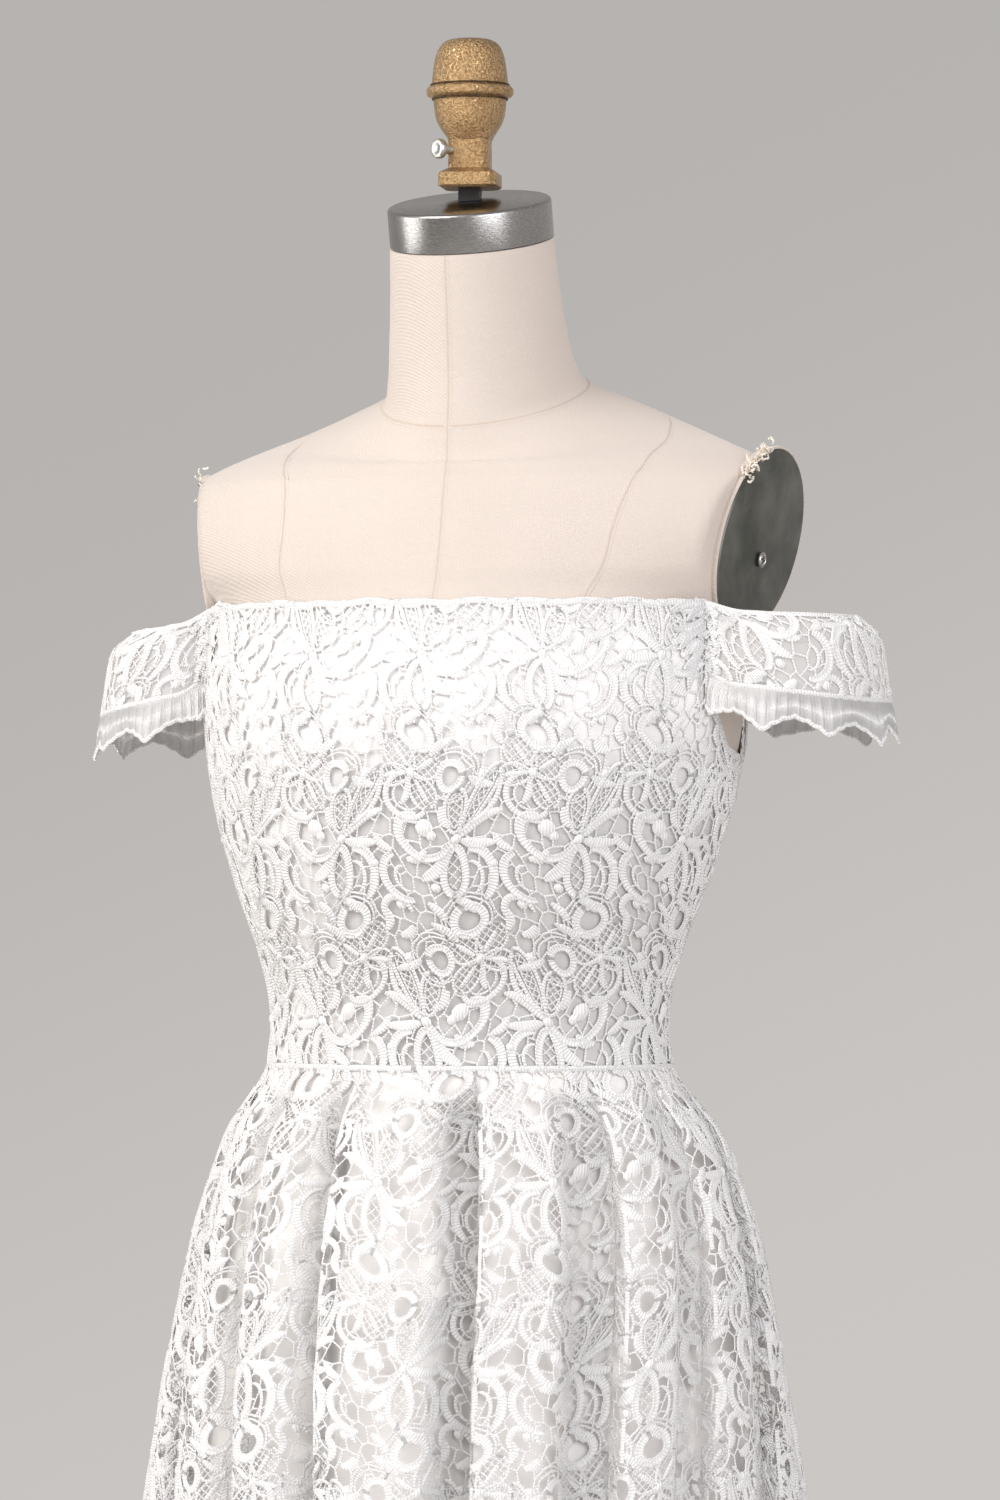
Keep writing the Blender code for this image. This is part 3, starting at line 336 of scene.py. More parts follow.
def smooth_path(corners, steps, closed=False):
    """Evenly stepped soft curve through a few corners, in millimetres."""
    corners = np.asarray(corners, float)
    count = len(corners)
    if closed:
        before, after, last = np.roll(corners, 1, 0), np.roll(corners, -1, 0), np.roll(corners, -2, 0)
        spans = count
    else:
        before = np.vstack([2 * corners[:1] - corners[1:2], corners[:-2]])
        after = corners[1:]
        last = np.vstack([corners[2:], 2 * corners[-1:] - corners[-2:-1]])
        spans = count - 1
    fine = []
    for i in range(spans):
        for k in range(12):
            t = k / 12.0
            a, b, c, d = before[i], corners[i], after[i], last[i]
            fine.append(b + 0.5 * t * (c - a + t * (2 * a - 5 * b + 4 * c - d + t * (3 * (b - c) + d - a))))
    if not closed:
        fine.append(corners[-1])
    fine = np.array(fine + ([fine[0]] if closed else []))
    run = lengths_along(fine)
    at = np.linspace(0.0, run[-1], steps + 1)
    if closed:
        at = at[:-1]
    return np.stack([np.interp(at, run, fine[:, 0]), np.interp(at, run, fine[:, 1])], 1)


def oval(centre, across, along, turn, steps, pinch=0.0):
    """Closed egg-shaped path; turn in degrees points its long way, pinch narrows its near end."""
    angle = np.linspace(0.0, 2 * np.pi, steps, endpoint=False)
    x = along * np.cos(angle)
    y = across * np.sin(angle) * (1.0 + pinch * np.cos(angle))
    a = math.radians(turn)
    return np.stack([centre[0] + x * math.cos(a) - y * math.sin(a),
                     centre[1] + x * math.sin(a) + y * math.cos(a)], 1)


class Drawing:
    """Lace drawn flat in millimetres: x along the cloth, y down it, lift out of it."""

    def __init__(self):
        """Start with nothing drawn."""
        self.points = []
        self.marks = []
        self.faces = []
        self.kept_open = []

    def add(self, points, marks, faces):
        """Take in loose points with their stitch marks and faces."""
        start = len(self.points)
        self.points += [tuple(p) for p in points]
        self.marks += [tuple(m) for m in marks]
        self.faces += [tuple(i + start for i in face) for face in faces]

    def band(self, path, width, height, profile=CORD, closed=False, ends=1.0):
        """Sweep a low cross-section along a path; ends narrows the width at both ends."""
        path = np.asarray(path, float)
        count = len(path)
        ahead = np.roll(path, -1, 0)
        behind = np.roll(path, 1, 0)
        if not closed:
            ahead[-1] = path[-1]
            behind[0] = path[0]
        along = ahead - behind
        along /= np.maximum(np.linalg.norm(along, axis=1, keepdims=True), 1e-9)
        side = np.stack([-along[:, 1], along[:, 0]], 1)
        run = lengths_along(path)
        width = np.broadcast_to(np.asarray(width, float), (count,)) / 2.0
        if ends < 1.0 and not closed:
            share = np.minimum(run, run[-1] - run) / max(run[-1], 1e-9) * 2.0
            width = width * (ends + (1.0 - ends) * np.sqrt(np.clip(share * 2.2, 0.0, 1.0)))
        rows = len(profile)
        points = []
        marks = []
        for i in range(count):
            for across, lift in profile:
                x, y = path[i] + side[i] * width[i] * across
                points.append((x, y, lift * height))
                marks.append((run[i], across * width[i]))
        faces = []
        for i in range(count if closed else count - 1):
            a = i * rows
            b = ((i + 1) % count) * rows
            for j in range(rows - 1):
                faces.append((a + j, b + j, b + j + 1, a + j + 1))
        self.add(points, marks, faces)

    def ball(self, centre, radius, height, sides=9):
        """Small padded dot."""
        points = [(centre[0], centre[1], height)]
        marks = [(0.0, 0.0)]
        for share, lift in ((0.62, 0.78), (1.0, 0.0)):
            for i in range(sides):
                a = 2 * math.pi * i / sides
                x, y = share * radius * math.cos(a), share * radius * math.sin(a)
                points.append((centre[0] + x, centre[1] + y, lift * height))
                marks.append((x, y))
        faces = [(0, 1 + i, 1 + (i + 1) % sides) for i in range(sides)]
        for i in range(sides):
            j = (i + 1) % sides
            faces.append((1 + i, 1 + sides + i, 1 + sides + j, 1 + j))
        self.add(points, marks, faces)

    def net(self, outline, pitch, turn, width=0.75, height=0.4):
        """Crossed threads inside a closed outline."""
        outline = np.asarray(outline, float)
        for angle in (turn, turn + 90.0):
            a = math.radians(angle)
            along = np.array((math.cos(a), math.sin(a)))
            side = np.array((-along[1], along[0]))
            across = outline @ side
            level = np.ceil(across.min() / pitch) * pitch
            while level < across.max():
                hits = []
                for p, q, dp, dq in zip(outline, np.roll(outline, -1, 0), across, np.roll(across, -1)):
                    if (dp - level) * (dq - level) < 0.0:
                        hits.append(float((p + (q - p) * (level - dp) / (dq - dp)) @ along))
                hits.sort()
                for start, end in zip(hits[::2], hits[1::2]):
                    if end - start > pitch * 0.6:
                        self.band([along * start + side * level, along * end + side * level], width, height)
                level += pitch

    def leaf(self, base, tip, bend, width, steps=8, height=1.0, profile=VEINED):
        """Ribbed leaf with a vein, bent to one side."""
        base, tip = np.array(base, float), np.array(tip, float)
        way = tip - base
        side = np.array((-way[1], way[0]))
        path = smooth_path([base, (base + tip) / 2 + side * bend, tip], steps)
        share = np.linspace(0.0, 1.0, steps + 1)
        swell = np.sin(np.pi * np.clip(share * 0.93 + 0.05, 0.0, 1.0)) ** 0.5
        self.band(path, width * swell, height, profile)

    def net_leaf(self, centre, across, along, turn, steps=16, pinch=0.25, pitch=2.8, rim=1.7):
        """Two corded outlines, one in the other, filled with crossed threads."""
        path = oval(centre, across, along, turn, steps, pinch)
        self.band(path, rim, 1.2, closed=True)
        inner = oval(centre, across - rim, along - rim * 1.4, turn, steps, pinch)
        self.band(inner, 1.1, 0.9, closed=True)
        self.net(inner, pitch, turn + 40.0)
        self.kept_open.append(path)

    def ring(self, centre, across, along, turn, width, steps=16, height=1.0, profile=DOUBLE_CORD, pinch=0.0):
        """Padded ring round an open hole."""
        path = oval(centre, across, along, turn, steps, pinch)
        self.band(path, width, height, profile, closed=True)
        self.kept_open.append(path)

    def arc(self, centre, radius, start, end, width, steps=10, squash=1.0, height=1.0, profile=DOUBLE_CORD):
        """Ribbed bow of a circle between two angles in degrees."""
        angle = np.radians(np.linspace(start, end, steps + 1))
        path = np.stack([centre[0] + radius * np.cos(angle), centre[1] + squash * radius * np.sin(angle)], 1)
        self.band(path, width, height, profile, ends=0.45)


def lobed_arc(centre, radius, start, end, steps=24):
    """Part of a circle whose edge swells into small lobes."""
    angle = np.radians(np.linspace(start, end, steps + 1))
    reach = radius * (1.0 + 0.07 * np.abs(np.sin(np.linspace(0.0, 3.0 * np.pi, steps + 1))))
    return np.stack([centre[0] + reach * np.cos(angle), centre[1] + reach * np.sin(angle)], 1)


def draw_flower(lace, centre):
    """Open flower: four petals of net with a padded bar, two padded rings round holes, and a half ring."""
    x, y = centre
    for turn, across, along in (
            (-138.0, 8.8, 11.5), (-50.0, 8.8, 11.5), (128.0, 7.6, 10.5), (20.0, 6.4, 9.5)):
        a = math.radians(turn)
        way = np.array((math.cos(a), math.sin(a)))
        path = oval(np.array(centre) + way * 11.5, across, along, turn, 14, 0.18)
        lace.band(path, 1.7, 1.2, closed=True)
        lace.net(path, 3.4, turn + 6.0)
        lace.kept_open.append(path)
        lace.band([np.array(centre) + way * r for r in (4.0, 9.0, 14.0, 18.0)], [1.8, 3.0, 3.2, 2.0], 1.5)
    for turn, far, across, along, wide in ((-97.0, 25.0, 9.4, 8.6, 5.4), (-176.0, 24.0, 8.0, 7.0, 4.4)):
        a = math.radians(turn)
        middle = (x + far * math.cos(a), y + far * math.sin(a))
        lace.ring(middle, across, along, turn, wide, steps=20, height=1.0, profile=RIMMED, pinch=-0.12)
        lace.band(lobed_arc(middle, 13.2, turn - 128.0, turn + 128.0), 1.3, 1.1)
        lace.band(lobed_arc(middle, 15.6, turn - 100.0, turn + 100.0), 1.3, 1.1)
    lace.arc((x + 2.0, y + 14.5), 13.0, -62.0, 165.0, 3.8, 14, 0.95)
    lace.arc((x + 2.0, y + 14.5), 8.2, -50.0, 150.0, 1.5, 10, 0.95, profile=CORD)
    lace.leaf((x + 2.0, y + 4.0), (x + 4.5, y + 20.0), 0.10, 4.4, 6, profile=DOUBLE_CORD)
    lace.leaf((x - 11.5, y - 13.5), (x - 26.0, y - 24.0), 0.12, 5.4, 6, profile=DOUBLE_CORD)
    lace.ball(centre, 3.3, 1.8)


def draw_bow(lace, centre):
    """Knot with two net leaves, a long netted ring, a curl round a ball, arcs of cord and small leaves."""
    x, y = centre
    lace.net_leaf((x - 12.5, y - 21.0), 5.4, 20.5, -119.0, 22, pinch=0.18, pitch=3.2, rim=2.4)
    lace.leaf((x - 1.0, y - 3.0), (x - 25.5, y - 35.0), -0.20, 3.4, 10, profile=DOUBLE_CORD)
    lace.net_leaf((x + 2.0, y - 17.5), 6.4, 13.5, -85.0, pitch=3.3, rim=2.2)
    lace.ring((x + 1.5, y + 19.0), 6.6, 14.2, 86.0, 4.6, steps=22, height=1.3, profile=RIMMED, pinch=0.22)
    lace.net(oval((x + 1.5, y + 19.5), 4.0, 11.0, 86.0, 12), 4.6, 40.0)
    curl = smooth_path([(x + 1, y + 1), (x + 11, y + 8.5), (x + 24, y + 9.5), (x + 34.5, y + 1.5),
                        (x + 34.0, y - 9.5), (x + 25.0, y - 12.5)], 19)
    lace.band(curl, np.linspace(4.2, 7.0, 20), 1.3, RIMMED)
    lace.ball((x + 20.0, y - 8.0), 5.4, 1.9, 11)
    lace.leaf((x + 3.5, y + 3.5), (x + 22.0, y + 24.0), 0.10, 7.8, 8)
    lace.leaf((x - 3.0, y - 1.0), (x - 27.0, y - 12.0), 0.06, 6.4, 8, profile=DOUBLE_CORD)
    lace.leaf((x - 3.0, y + 1.5), (x - 24.5, y + 8.0), -0.10, 6.4, 8, profile=DOUBLE_CORD)
    lace.arc((x - 6.0, y + 25.5), 15.5, 118.0, 262.0, 5.6, 12, 1.1, height=1.2, profile=RIMMED)
    lace.arc((x - 6.0, y + 26.0), 8.6, 105.0, 262.0, 2.2, 9, 1.2, profile=CORD)
    lace.ball((x, y), 3.4, 2.1, 10)


def turned_half(lace, shift, drop):
    """The same drawing mirrored along the cloth, for every second row."""
    width = LACE_WIDTH
    points = [(width - x + shift, y + drop, lift) for x, y, lift in lace.points]
    faces = [tuple(reversed(face)) for face in lace.faces]
    outlines = [np.stack([width - p[:, 0] + shift, p[:, 1] + drop], 1) for p in lace.kept_open]
    return points, list(lace.marks), faces, outlines


def covered_map(lace, width, height, cell):
    """Map in square cells of where motifs, holes and nets lie, wrapping at the repeat's edges."""
    columns, rows = int(round(width / cell)), int(round(height / cell))
    taken = np.zeros((rows, columns), bool)
    flat = np.array([p[:2] for p in lace.points])
    shapes = [flat[list(face)] for face in lace.faces] + list(lace.kept_open)
    for shape in shapes:
        low = np.floor(shape.min(0) / cell).astype(int)
        high = np.ceil(shape.max(0) / cell).astype(int)
        xs, ys = np.meshgrid(np.arange(low[0], high[0] + 1), np.arange(low[1], high[1] + 1))
        px, py = (xs + 0.5) * cell, (ys + 0.5) * cell
        inside = np.zeros(px.shape, bool)
        for (x0, y0), (x1, y1) in zip(shape, np.roll(shape, -1, 0)):
            if y0 == y1:
                continue
            crosses = (py < y0) != (py < y1)
            inside ^= crosses & (px < x0 + (x1 - x0) * (py - y0) / (y1 - y0))
        taken[ys[inside] % rows, xs[inside] % columns] = True
    return taken


def draw_ground(lace, width, height, random):
    """Uneven six-sided mesh of thin bars wherever no motif lies."""
    cell = 0.5
    taken = covered_map(lace, width, height, cell)
    rows, columns = taken.shape
    across, down = GROUND_COLUMNS, GROUND_ROWS
    step_x, step_y = width / across, height / (3.0 * down)
    jitter = random.uniform(-1.0, 1.0, (across, down * 4, 2)) * GROUND_UNEVEN

    def knot(i, j):
        """Where two or more bars meet."""
        x = (i + (0.5 if j % 4 in (1, 2) else 0.0)) * step_x
        y = (j // 4 * 3 + (0.0, 0.5, 1.5, 2.0)[j % 4]) * step_y
        dx, dy = jitter[i % across, j % (down * 4)]
        return np.array((x + dx, y + dy))

    for i in range(across):
        for j in range(down * 4):
            ends = [(i, j + 1)]
            if j % 4 == 0:
                ends.append((i - 1, j + 1))
            elif j % 4 == 2:
                ends.append((i + 1, j + 1))
            for far in ends:
                p, q = knot(i, j), knot(*far)
                share = np.linspace(0.0, 1.0, 15)
                line = p + (q - p) * share[:, None]
                cells = np.floor(line / cell).astype(int)
                free = np.nonzero(~taken[cells[:, 1] % rows, cells[:, 0] % columns])[0]
                if len(free) < 2:
                    continue
                start = line[max(free[0] - 1, 0)]
                end = line[min(free[-1] + 1, 14)]
                lace.band([start, end], GROUND_BAR, 0.6)


def draw_half():
    """Half a repeat: a flower, a bow and what fills the room round them."""
    lace = Drawing()
    draw_flower(lace, (28.0, 33.0))
    draw_bow(lace, (70.5, 70.5))
    lace.arc((31.5, 96.5), 12.0, -70.0, 118.0, 5.4, 12, 1.15, height=1.2, profile=RIMMED)
    lace.arc((30.0, 97.0), 6.0, -85.0, 120.0, 2.0, 9, 1.25, profile=CORD)
    for base, tip, bend, width, steps in (
            ((27.5, 84.5), (15.5, 75.5), -0.14, 5.6, 7), ((18.0, 108.0), (9.5, 119.0), 0.12, 5.8, 7),
            ((54.5, 23.0), (64.0, 14.0), 0.14, 5.6, 7), ((46.5, 20.0), (47.0, 5.5), 0.16, 5.6, 7),
            ((50.5, 44.0), (66.0, 34.5), 0.10, 5.2, 6), ((9.0, 49.0), (1.5, 62.5), -0.12, 5.4, 6),
            ((36.5, 82.0), (48.0, 73.5), 0.14, 5.4, 6)):
        lace.leaf(base, tip, bend, width, steps, profile=DOUBLE_CORD)
    lace.arc((56.0, 8.0), 9.4, 150.0, 340.0, 4.4, 10, 1.0)
    lace.leaf((1.0, 106.0), (-9.0, 117.0), 0.12, 5.6, 6, profile=DOUBLE_CORD)
    lace.ball((13.0, 66.5), 3.2, 1.6)
    for x, y, radius in ((58.0, 35.5, 2.8), (11.5, 98.0, 3.0), (48.5, 91.0, 2.8), (58.0, 3.0, 3.0)):
        lace.ball((x, y), radius, 1.5)
    return lace


def draw_repeat():
    """One whole repeat of the lace: a half, the same mirrored below it, and the ground of bars."""
    lace = draw_half()
    width, height = LACE_WIDTH, 2.0 * LACE_HALF_HEIGHT
    points, marks, faces, outlines = turned_half(lace, LACE_ROW_SHIFT, LACE_HALF_HEIGHT)
    lace.add(points, marks, faces)
    lace.kept_open += outlines
    draw_ground(lace, width, height, np.random.default_rng(7))
    # Hand-guided embroidery wanders: every row drifts a little up and down and from side to side.
    lace.points = [
        (x + SIDE_DRIFT * math.sin(4.0 * math.pi * y / height),
         y + DOWN_DRIFT * math.sin(2.0 * math.pi * x / width + 0.6), lift)
        for x, y, lift in lace.points]
    return lace


def soft_between(a, b, c, d, t):
    """Smooth way from b to c at share t, led by the values a before and d after them."""
    return ((2 * t**3 - 3 * t**2 + 1) * b + (t**3 - 2 * t**2 + t) * (c - a) / 2.0
            + (3 * t**2 - 2 * t**3) * c + (t**3 - t**2) * (d - b) / 2.0)


def row_values(rows, height):
    """Smoothly interpolated columns of a table at an array of keys."""
    table = np.array(rows, float)
    key = np.asarray(height, float)
    keys = table[:, 0]
    if keys[-1] < keys[0]:
        keys, key = -keys, -key
    last = len(keys) - 1
    index = np.clip(np.searchsorted(keys, key) - 1, 0, last - 1)
    t = ((key - keys[index]) / (keys[index + 1] - keys[index]))[..., None]
    a, b = table[np.maximum(index - 1, 0), 1:], table[index, 1:]
    c, d = table[index + 1, 1:], table[np.minimum(index + 2, last), 1:]
    return np.moveaxis(soft_between(a, b, c, d, t), -1, 0)


def section(angle, height, half_width, front, back, centre_y, rise=0.0):
    """Points of oval sections at angles in degrees from the centre front."""
    turn = np.radians(angle)
    depth = np.where(np.cos(turn) > 0.0, front, back)
    y = -depth * np.cos(turn)
    return np.stack(np.broadcast_arrays(half_width * np.sin(turn), centre_y + y, height + rise * y), -1)


def smooth_share(value):
    """Smooth step from 0 to 1."""
    value = np.clip(value, 0.0, 1.0)
    return value * value * (3.0 - 2.0 * value)


def grid_normals(points, closed):
    """Outward normals of rows of points that run top first and towards the wearer's left."""
    if closed:
        along = np.roll(points, -1, 1) - np.roll(points, 1, 1)
    else:
        along = np.gradient(points, axis=1)
    down = np.gradient(points, axis=0)
    normal = np.cross(down, along)
    return unit(normal)


def bodice_grid(low, high, columns, heights):
    """Rows of points on the bodice's outer face, top first."""
    angle = np.linspace(low, high, columns)[None, :]
    height = np.asarray(heights)[:, None]
    return section(angle, height, *row_values(BODICE_ROWS, height)), np.broadcast_to(
        angle, (len(heights), columns))


def drawn_in(points, centre_y, depth):
    """Points of sections moved towards their middle by a depth in metres."""
    keep = 1.0 - depth / np.hypot(points[..., 0], points[..., 1] - centre_y)
    y = centre_y + (points[..., 1] - centre_y) * keep
    return np.stack([points[..., 0] * keep, y, points[..., 2]], -1)


def waist_spread(angle, height):
    """Degrees that the pleats turn away from the spread's centre near the waist."""
    share = smooth_share((height - SPREAD_END_Z) / (WAIST_Z - SPREAD_END_Z))
    return np.degrees(WAIST_SPREAD * share * np.sin(np.radians(angle - SPREAD_CENTRE)))


def pleat_stations():
    """Angles once round the skirt with the pleat depth share there, and where each sharp edge falls."""
    angles = []
    drops = []
    crests = []
    for index, (edge, width, share) in enumerate(PLEATS):
        following = PLEATS[(index + 1) % len(PLEATS)][0] + (360.0 if index + 1 == len(PLEATS) else 0.0)
        before = PLEATS[index - 1][2]
        panel_end, fall_end, foot = edge + width, edge + width + PLEAT_FALL, following - PLEAT_STEP
        parts = (
            (edge - PLEAT_STEP, edge, before, 0.0, TURN_STEPS), (edge, panel_end, 0.0, 0.0, 12),
            (panel_end, fall_end, 0.0, share, 6), (fall_end, foot, share, share, 6),
        )
        for start, end, from_drop, to_drop, steps in parts:
            if start == edge:
                crests.append(len(angles))
            for k in range(steps):
                t = k / steps
                angles.append(start + (end - start) * t)
                bulge = PANEL_BULGE * math.sin(math.pi * t) if start == edge else 0.0
                sag = RECESS_SAG * math.sin(math.pi * t) if start == fall_end else 0.0
                drops.append(from_drop + (to_drop - from_drop) * t - bulge + sag)
    return np.array(angles), np.array(drops), crests


def skirt_grid(heights, soften):
    """Rows of points once round the pleated skirt, top first, with each fold a little rounded."""
    angles, drops, crests = pleat_stations()
    height = np.asarray(heights)[:, None]
    half_width, front, back, centre_y, depth = row_values(SKIRT_ROWS, height)
    points = section(angles + waist_spread(angles, height), height, half_width, front, back, centre_y)
    points = drawn_in(points, centre_y, depth * drops)
    for _ in range(soften):
        points = (np.roll(points, 1, 1) + 2.0 * points + np.roll(points, -1, 1)) / 4.0
    return points, crests


def sleeve_grid(shares, downs, hang, below=None):
    """Rows of points on a wearer's-left sleeve; downs are shares of its height from the top.

    hang is its drop, sag and draw; below adds a fall in metres to each point.
    """
    drop, sag, draw = hang
    share = np.asarray(shares, float)[None, :]
    down = np.asarray(downs, float)[:, None]
    tall = SLEEVE_HEIGHTS[0] + (SLEEVE_HEIGHTS[1] - SLEEVE_HEIGHTS[0]) * smooth_share(share * 2.0)
    height = SLEEVE_TOP_Z - tall * down

    def plan(at):
        """Points of the loop at shares of its way, before its profile bends it out."""
        body = np.clip(height, ARMHOLE_CORNER_Z, NECKLINE_Z)
        rise = (NECKLINE_Z - body) / (NECKLINE_Z - ARMHOLE_CORNER_Z)
        sizes = row_values(BODICE_ROWS, body)
        front = section(SLEEVE_FRONT + SLEEVE_SLANT * rise, body, *sizes)
        back = section(SLEEVE_BACK - SLEEVE_SLANT * rise, body, *sizes)
        at = np.broadcast_to(at, height.shape)
        fixed = np.array([[0.0, 0.0, 0.0], *SLEEVE_PATH, [1.0, 0.0, 0.0]])
        keys = fixed[:, 0]
        index = np.clip(np.searchsorted(keys, at) - 1, 0, len(keys) - 2)
        t = (at - keys[index]) / (keys[index + 1] - keys[index])
        out = []
        for k in (0, 1):
            along = [row[k + 1] for row in SLEEVE_PATH]
            values = np.stack(np.broadcast_arrays(front[..., k], *along, back[..., k]), -1)
            near = [np.take_along_axis(values, np.clip(index + step, 0, len(keys) - 1)[..., None], -1)[..., 0]
                    for step in (-1, 0, 1, 2)]
            out.append(soft_between(*near, t))
        middle = np.sin(np.pi * at)
        free = smooth_share(np.minimum(at, 1.0 - at) * 9.0)
        return np.stack([out[0] - draw * middle, out[1], height - sag * middle - drop * free], -1)

    point = plan(share)
    along = plan(np.minimum(share + 0.01, 1.0)) - plan(np.maximum(share - 0.01, 0.0))
    outward = unit(np.stack([along[..., 1], -along[..., 0], np.zeros_like(along[..., 0])], -1))
    offset = row_values(SLEEVE_PROFILE, down)[0]
    free = smooth_share(np.minimum(share, 1.0 - share) * 5.0)
    point += outward * (offset * free)[..., None]
    if below is not None:
        point[..., 2] -= below
    return point


class Chart:
    """Cloth laid out flat: x runs along it from a zero line, y down it, both in millimetres."""

    def __init__(self, points, normals, zero, angles=None, mirrored=False, step=0.0015):
        """Measure a grid of points along its rows, from the column zero, and read it at even steps."""
        self.mirrored = mirrored
        runs = lengths_along(points, 1)
        runs -= runs[:, zero:zero + 1]
        self.low, self.high = runs[:, 0], runs[:, -1]
        self.first, self.step = self.low.min(), step
        marks = np.arange(self.first, self.high.max() + step, step)
        layers = [*np.moveaxis(points, -1, 0), *np.moveaxis(normals, -1, 0)]
        if angles is not None:
            layers.append(angles)
        self.grid = np.stack([
            np.stack([np.interp(marks, run, layer[h]) for layer in layers], -1) for h, run in enumerate(runs)
        ])
        self.drops = lengths_along(points[:, points.shape[1] // 3])
        self.top_drop = None

    def rows_at(self, y):
        """Row number, with its fraction, at a drop in metres."""
        return np.interp(y, self.drops, np.arange(len(self.drops)))

    def sample(self, x, y):
        """Point, normal and angle at flat places in metres."""
        row = self.rows_at(y)
        column = np.clip((x - self.first) / self.step, 0.0, self.grid.shape[1] - 1.001)
        r0 = np.minimum(row.astype(int), self.grid.shape[0] - 2)
        c0 = column.astype(int)
        fr, fc = (row - r0)[:, None], (column - c0)[:, None]
        g = self.grid
        return ((g[r0, c0] * (1 - fc) + g[r0, c0 + 1] * fc) * (1 - fr)
                + (g[r0 + 1, c0] * (1 - fc) + g[r0 + 1, c0 + 1] * fc) * fr)

    def place(self, flat, lift):
        """Points in space for flat millimetres and a lift, and which of them lie on the cloth."""
        x, y = flat[:, 0] * MM, flat[:, 1] * MM
        row = self.rows_at(y)
        numbers = np.arange(len(self.drops))
        inside = (x > np.interp(row, numbers, self.low)) & (x < np.interp(row, numbers, self.high))
        inside &= (y > 0.0) & (y < self.drops[-1])
        if self.top_drop is not None:
            edge = self.top_drop(self.sample(x, y)[:, 6])
            inside &= y > edge
            y = np.maximum(y, edge)
        at = self.sample(x, y)
        points = at[:, :3] + at[:, 3:6] * (lift * MM)[:, None]
        if self.mirrored:
            points = points * np.array((-1.0, 1.0, 1.0))
        return points, inside


def in_scene(name, data):
    """Object of a mesh, light or camera, put in the scene."""
    made = bpy.data.objects.new(name, data)
    bpy.context.scene.collection.objects.link(made)
    return made


def new_mesh(name, points, faces, finish, uv):
    """Smooth object from arrays of points, stitch marks and faces, a list of (n, 3) and (n, 4) arrays."""
    mesh = bpy.data.meshes.new(name)
    mesh.vertices.add(len(points))
    mesh.vertices.foreach_set("co", np.asarray(points, np.float32).ravel())
    loops = np.concatenate([np.asarray(f, np.int32).ravel() for f in faces if len(f)])
    sizes = np.concatenate([np.full(len(f), np.asarray(f).shape[1], np.int32) for f in faces if len(f)])
    starts = np.concatenate([[0], np.cumsum(sizes)[:-1]]).astype(np.int32)
    mesh.loops.add(len(loops))
    mesh.loops.foreach_set("vertex_index", loops)
    mesh.polygons.add(len(sizes))
    mesh.polygons.foreach_set("loop_start", starts)
    mesh.polygons.foreach_set("loop_total", sizes)
    mesh.polygons.foreach_set("use_smooth", np.full(len(sizes), True))
    layer = mesh.uv_layers.new(name="stitches")
    layer.data.foreach_set("uv", np.asarray(uv, np.float32)[loops].ravel())
    mesh.update(calc_edges=True)
    mesh.validate()
    mesh.materials.append(finish)
    return in_scene(name, mesh)


def plain_piece(name, points, faces, finish, sharp=None):
    """Object from lists of points and faces: smooth but for edges past the sharp angle, or flat."""
    mesh = bpy.data.meshes.new(name)
    mesh.from_pydata(points, [], faces)
    mesh.materials.append(finish)
    if sharp is not None:
        mesh.shade_smooth()
        mesh.set_sharp_from_angle(angle=math.radians(sharp))
    return in_scene(name, mesh)


def mark_painted_shade(made, depth):
    """Keep on each point its share of painted shade, from 0 to 1, for its material to darken by: deep in a
    pleat or under the bust.
    """
    layer = made.data.attributes.new("painted_shade", "FLOAT", "POINT")
    layer.data.foreach_set("value", np.asarray(depth, np.float32))


def ring_faces(rings):
    """Quads between rings of equally many points."""
    sides = len(rings[0])
    faces = []
    for level in range(len(rings) - 1):
        for i in range(sides):
            a, b = level * sides + i, level * sides + (i + 1) % sides
            faces.append((a, b, b + sides, a + sides))
    return faces


def grid_faces(rows, columns, closed):
    """Quads of a grid whose rows run top first and towards the wearer's left."""
    j = np.arange(rows - 1)[:, None]
    i = np.arange(columns if closed else columns - 1)[None, :]
    k = (i + 1) % columns
    a, b = j * columns + i, j * columns + k
    c, d = (j + 1) * columns + k, (j + 1) * columns + i
    return np.stack(np.broadcast_arrays(d, c, b, a), -1).reshape(-1, 4)


def cloth_from_grid(name, points, finish, closed=False, keep=None, flip=False):
    """Thin sheet on a grid of points; keep masks its cells."""
    rows, columns = points.shape[:2]
    faces = grid_faces(rows, columns, closed)
    if keep is not None:
        faces = faces[keep.ravel()]
    if flip:
        faces = faces[:, ::-1]
    flat = points.reshape(-1, 3)
    used = np.unique(faces)
    lookup = np.full(len(flat), -1)
    lookup[used] = np.arange(len(used))
    uv = np.stack([lengths_along(points, 1), lengths_along(points)], -1).reshape(-1, 2)
    return new_mesh(name, flat[used], [lookup[faces]], finish, uv[used])


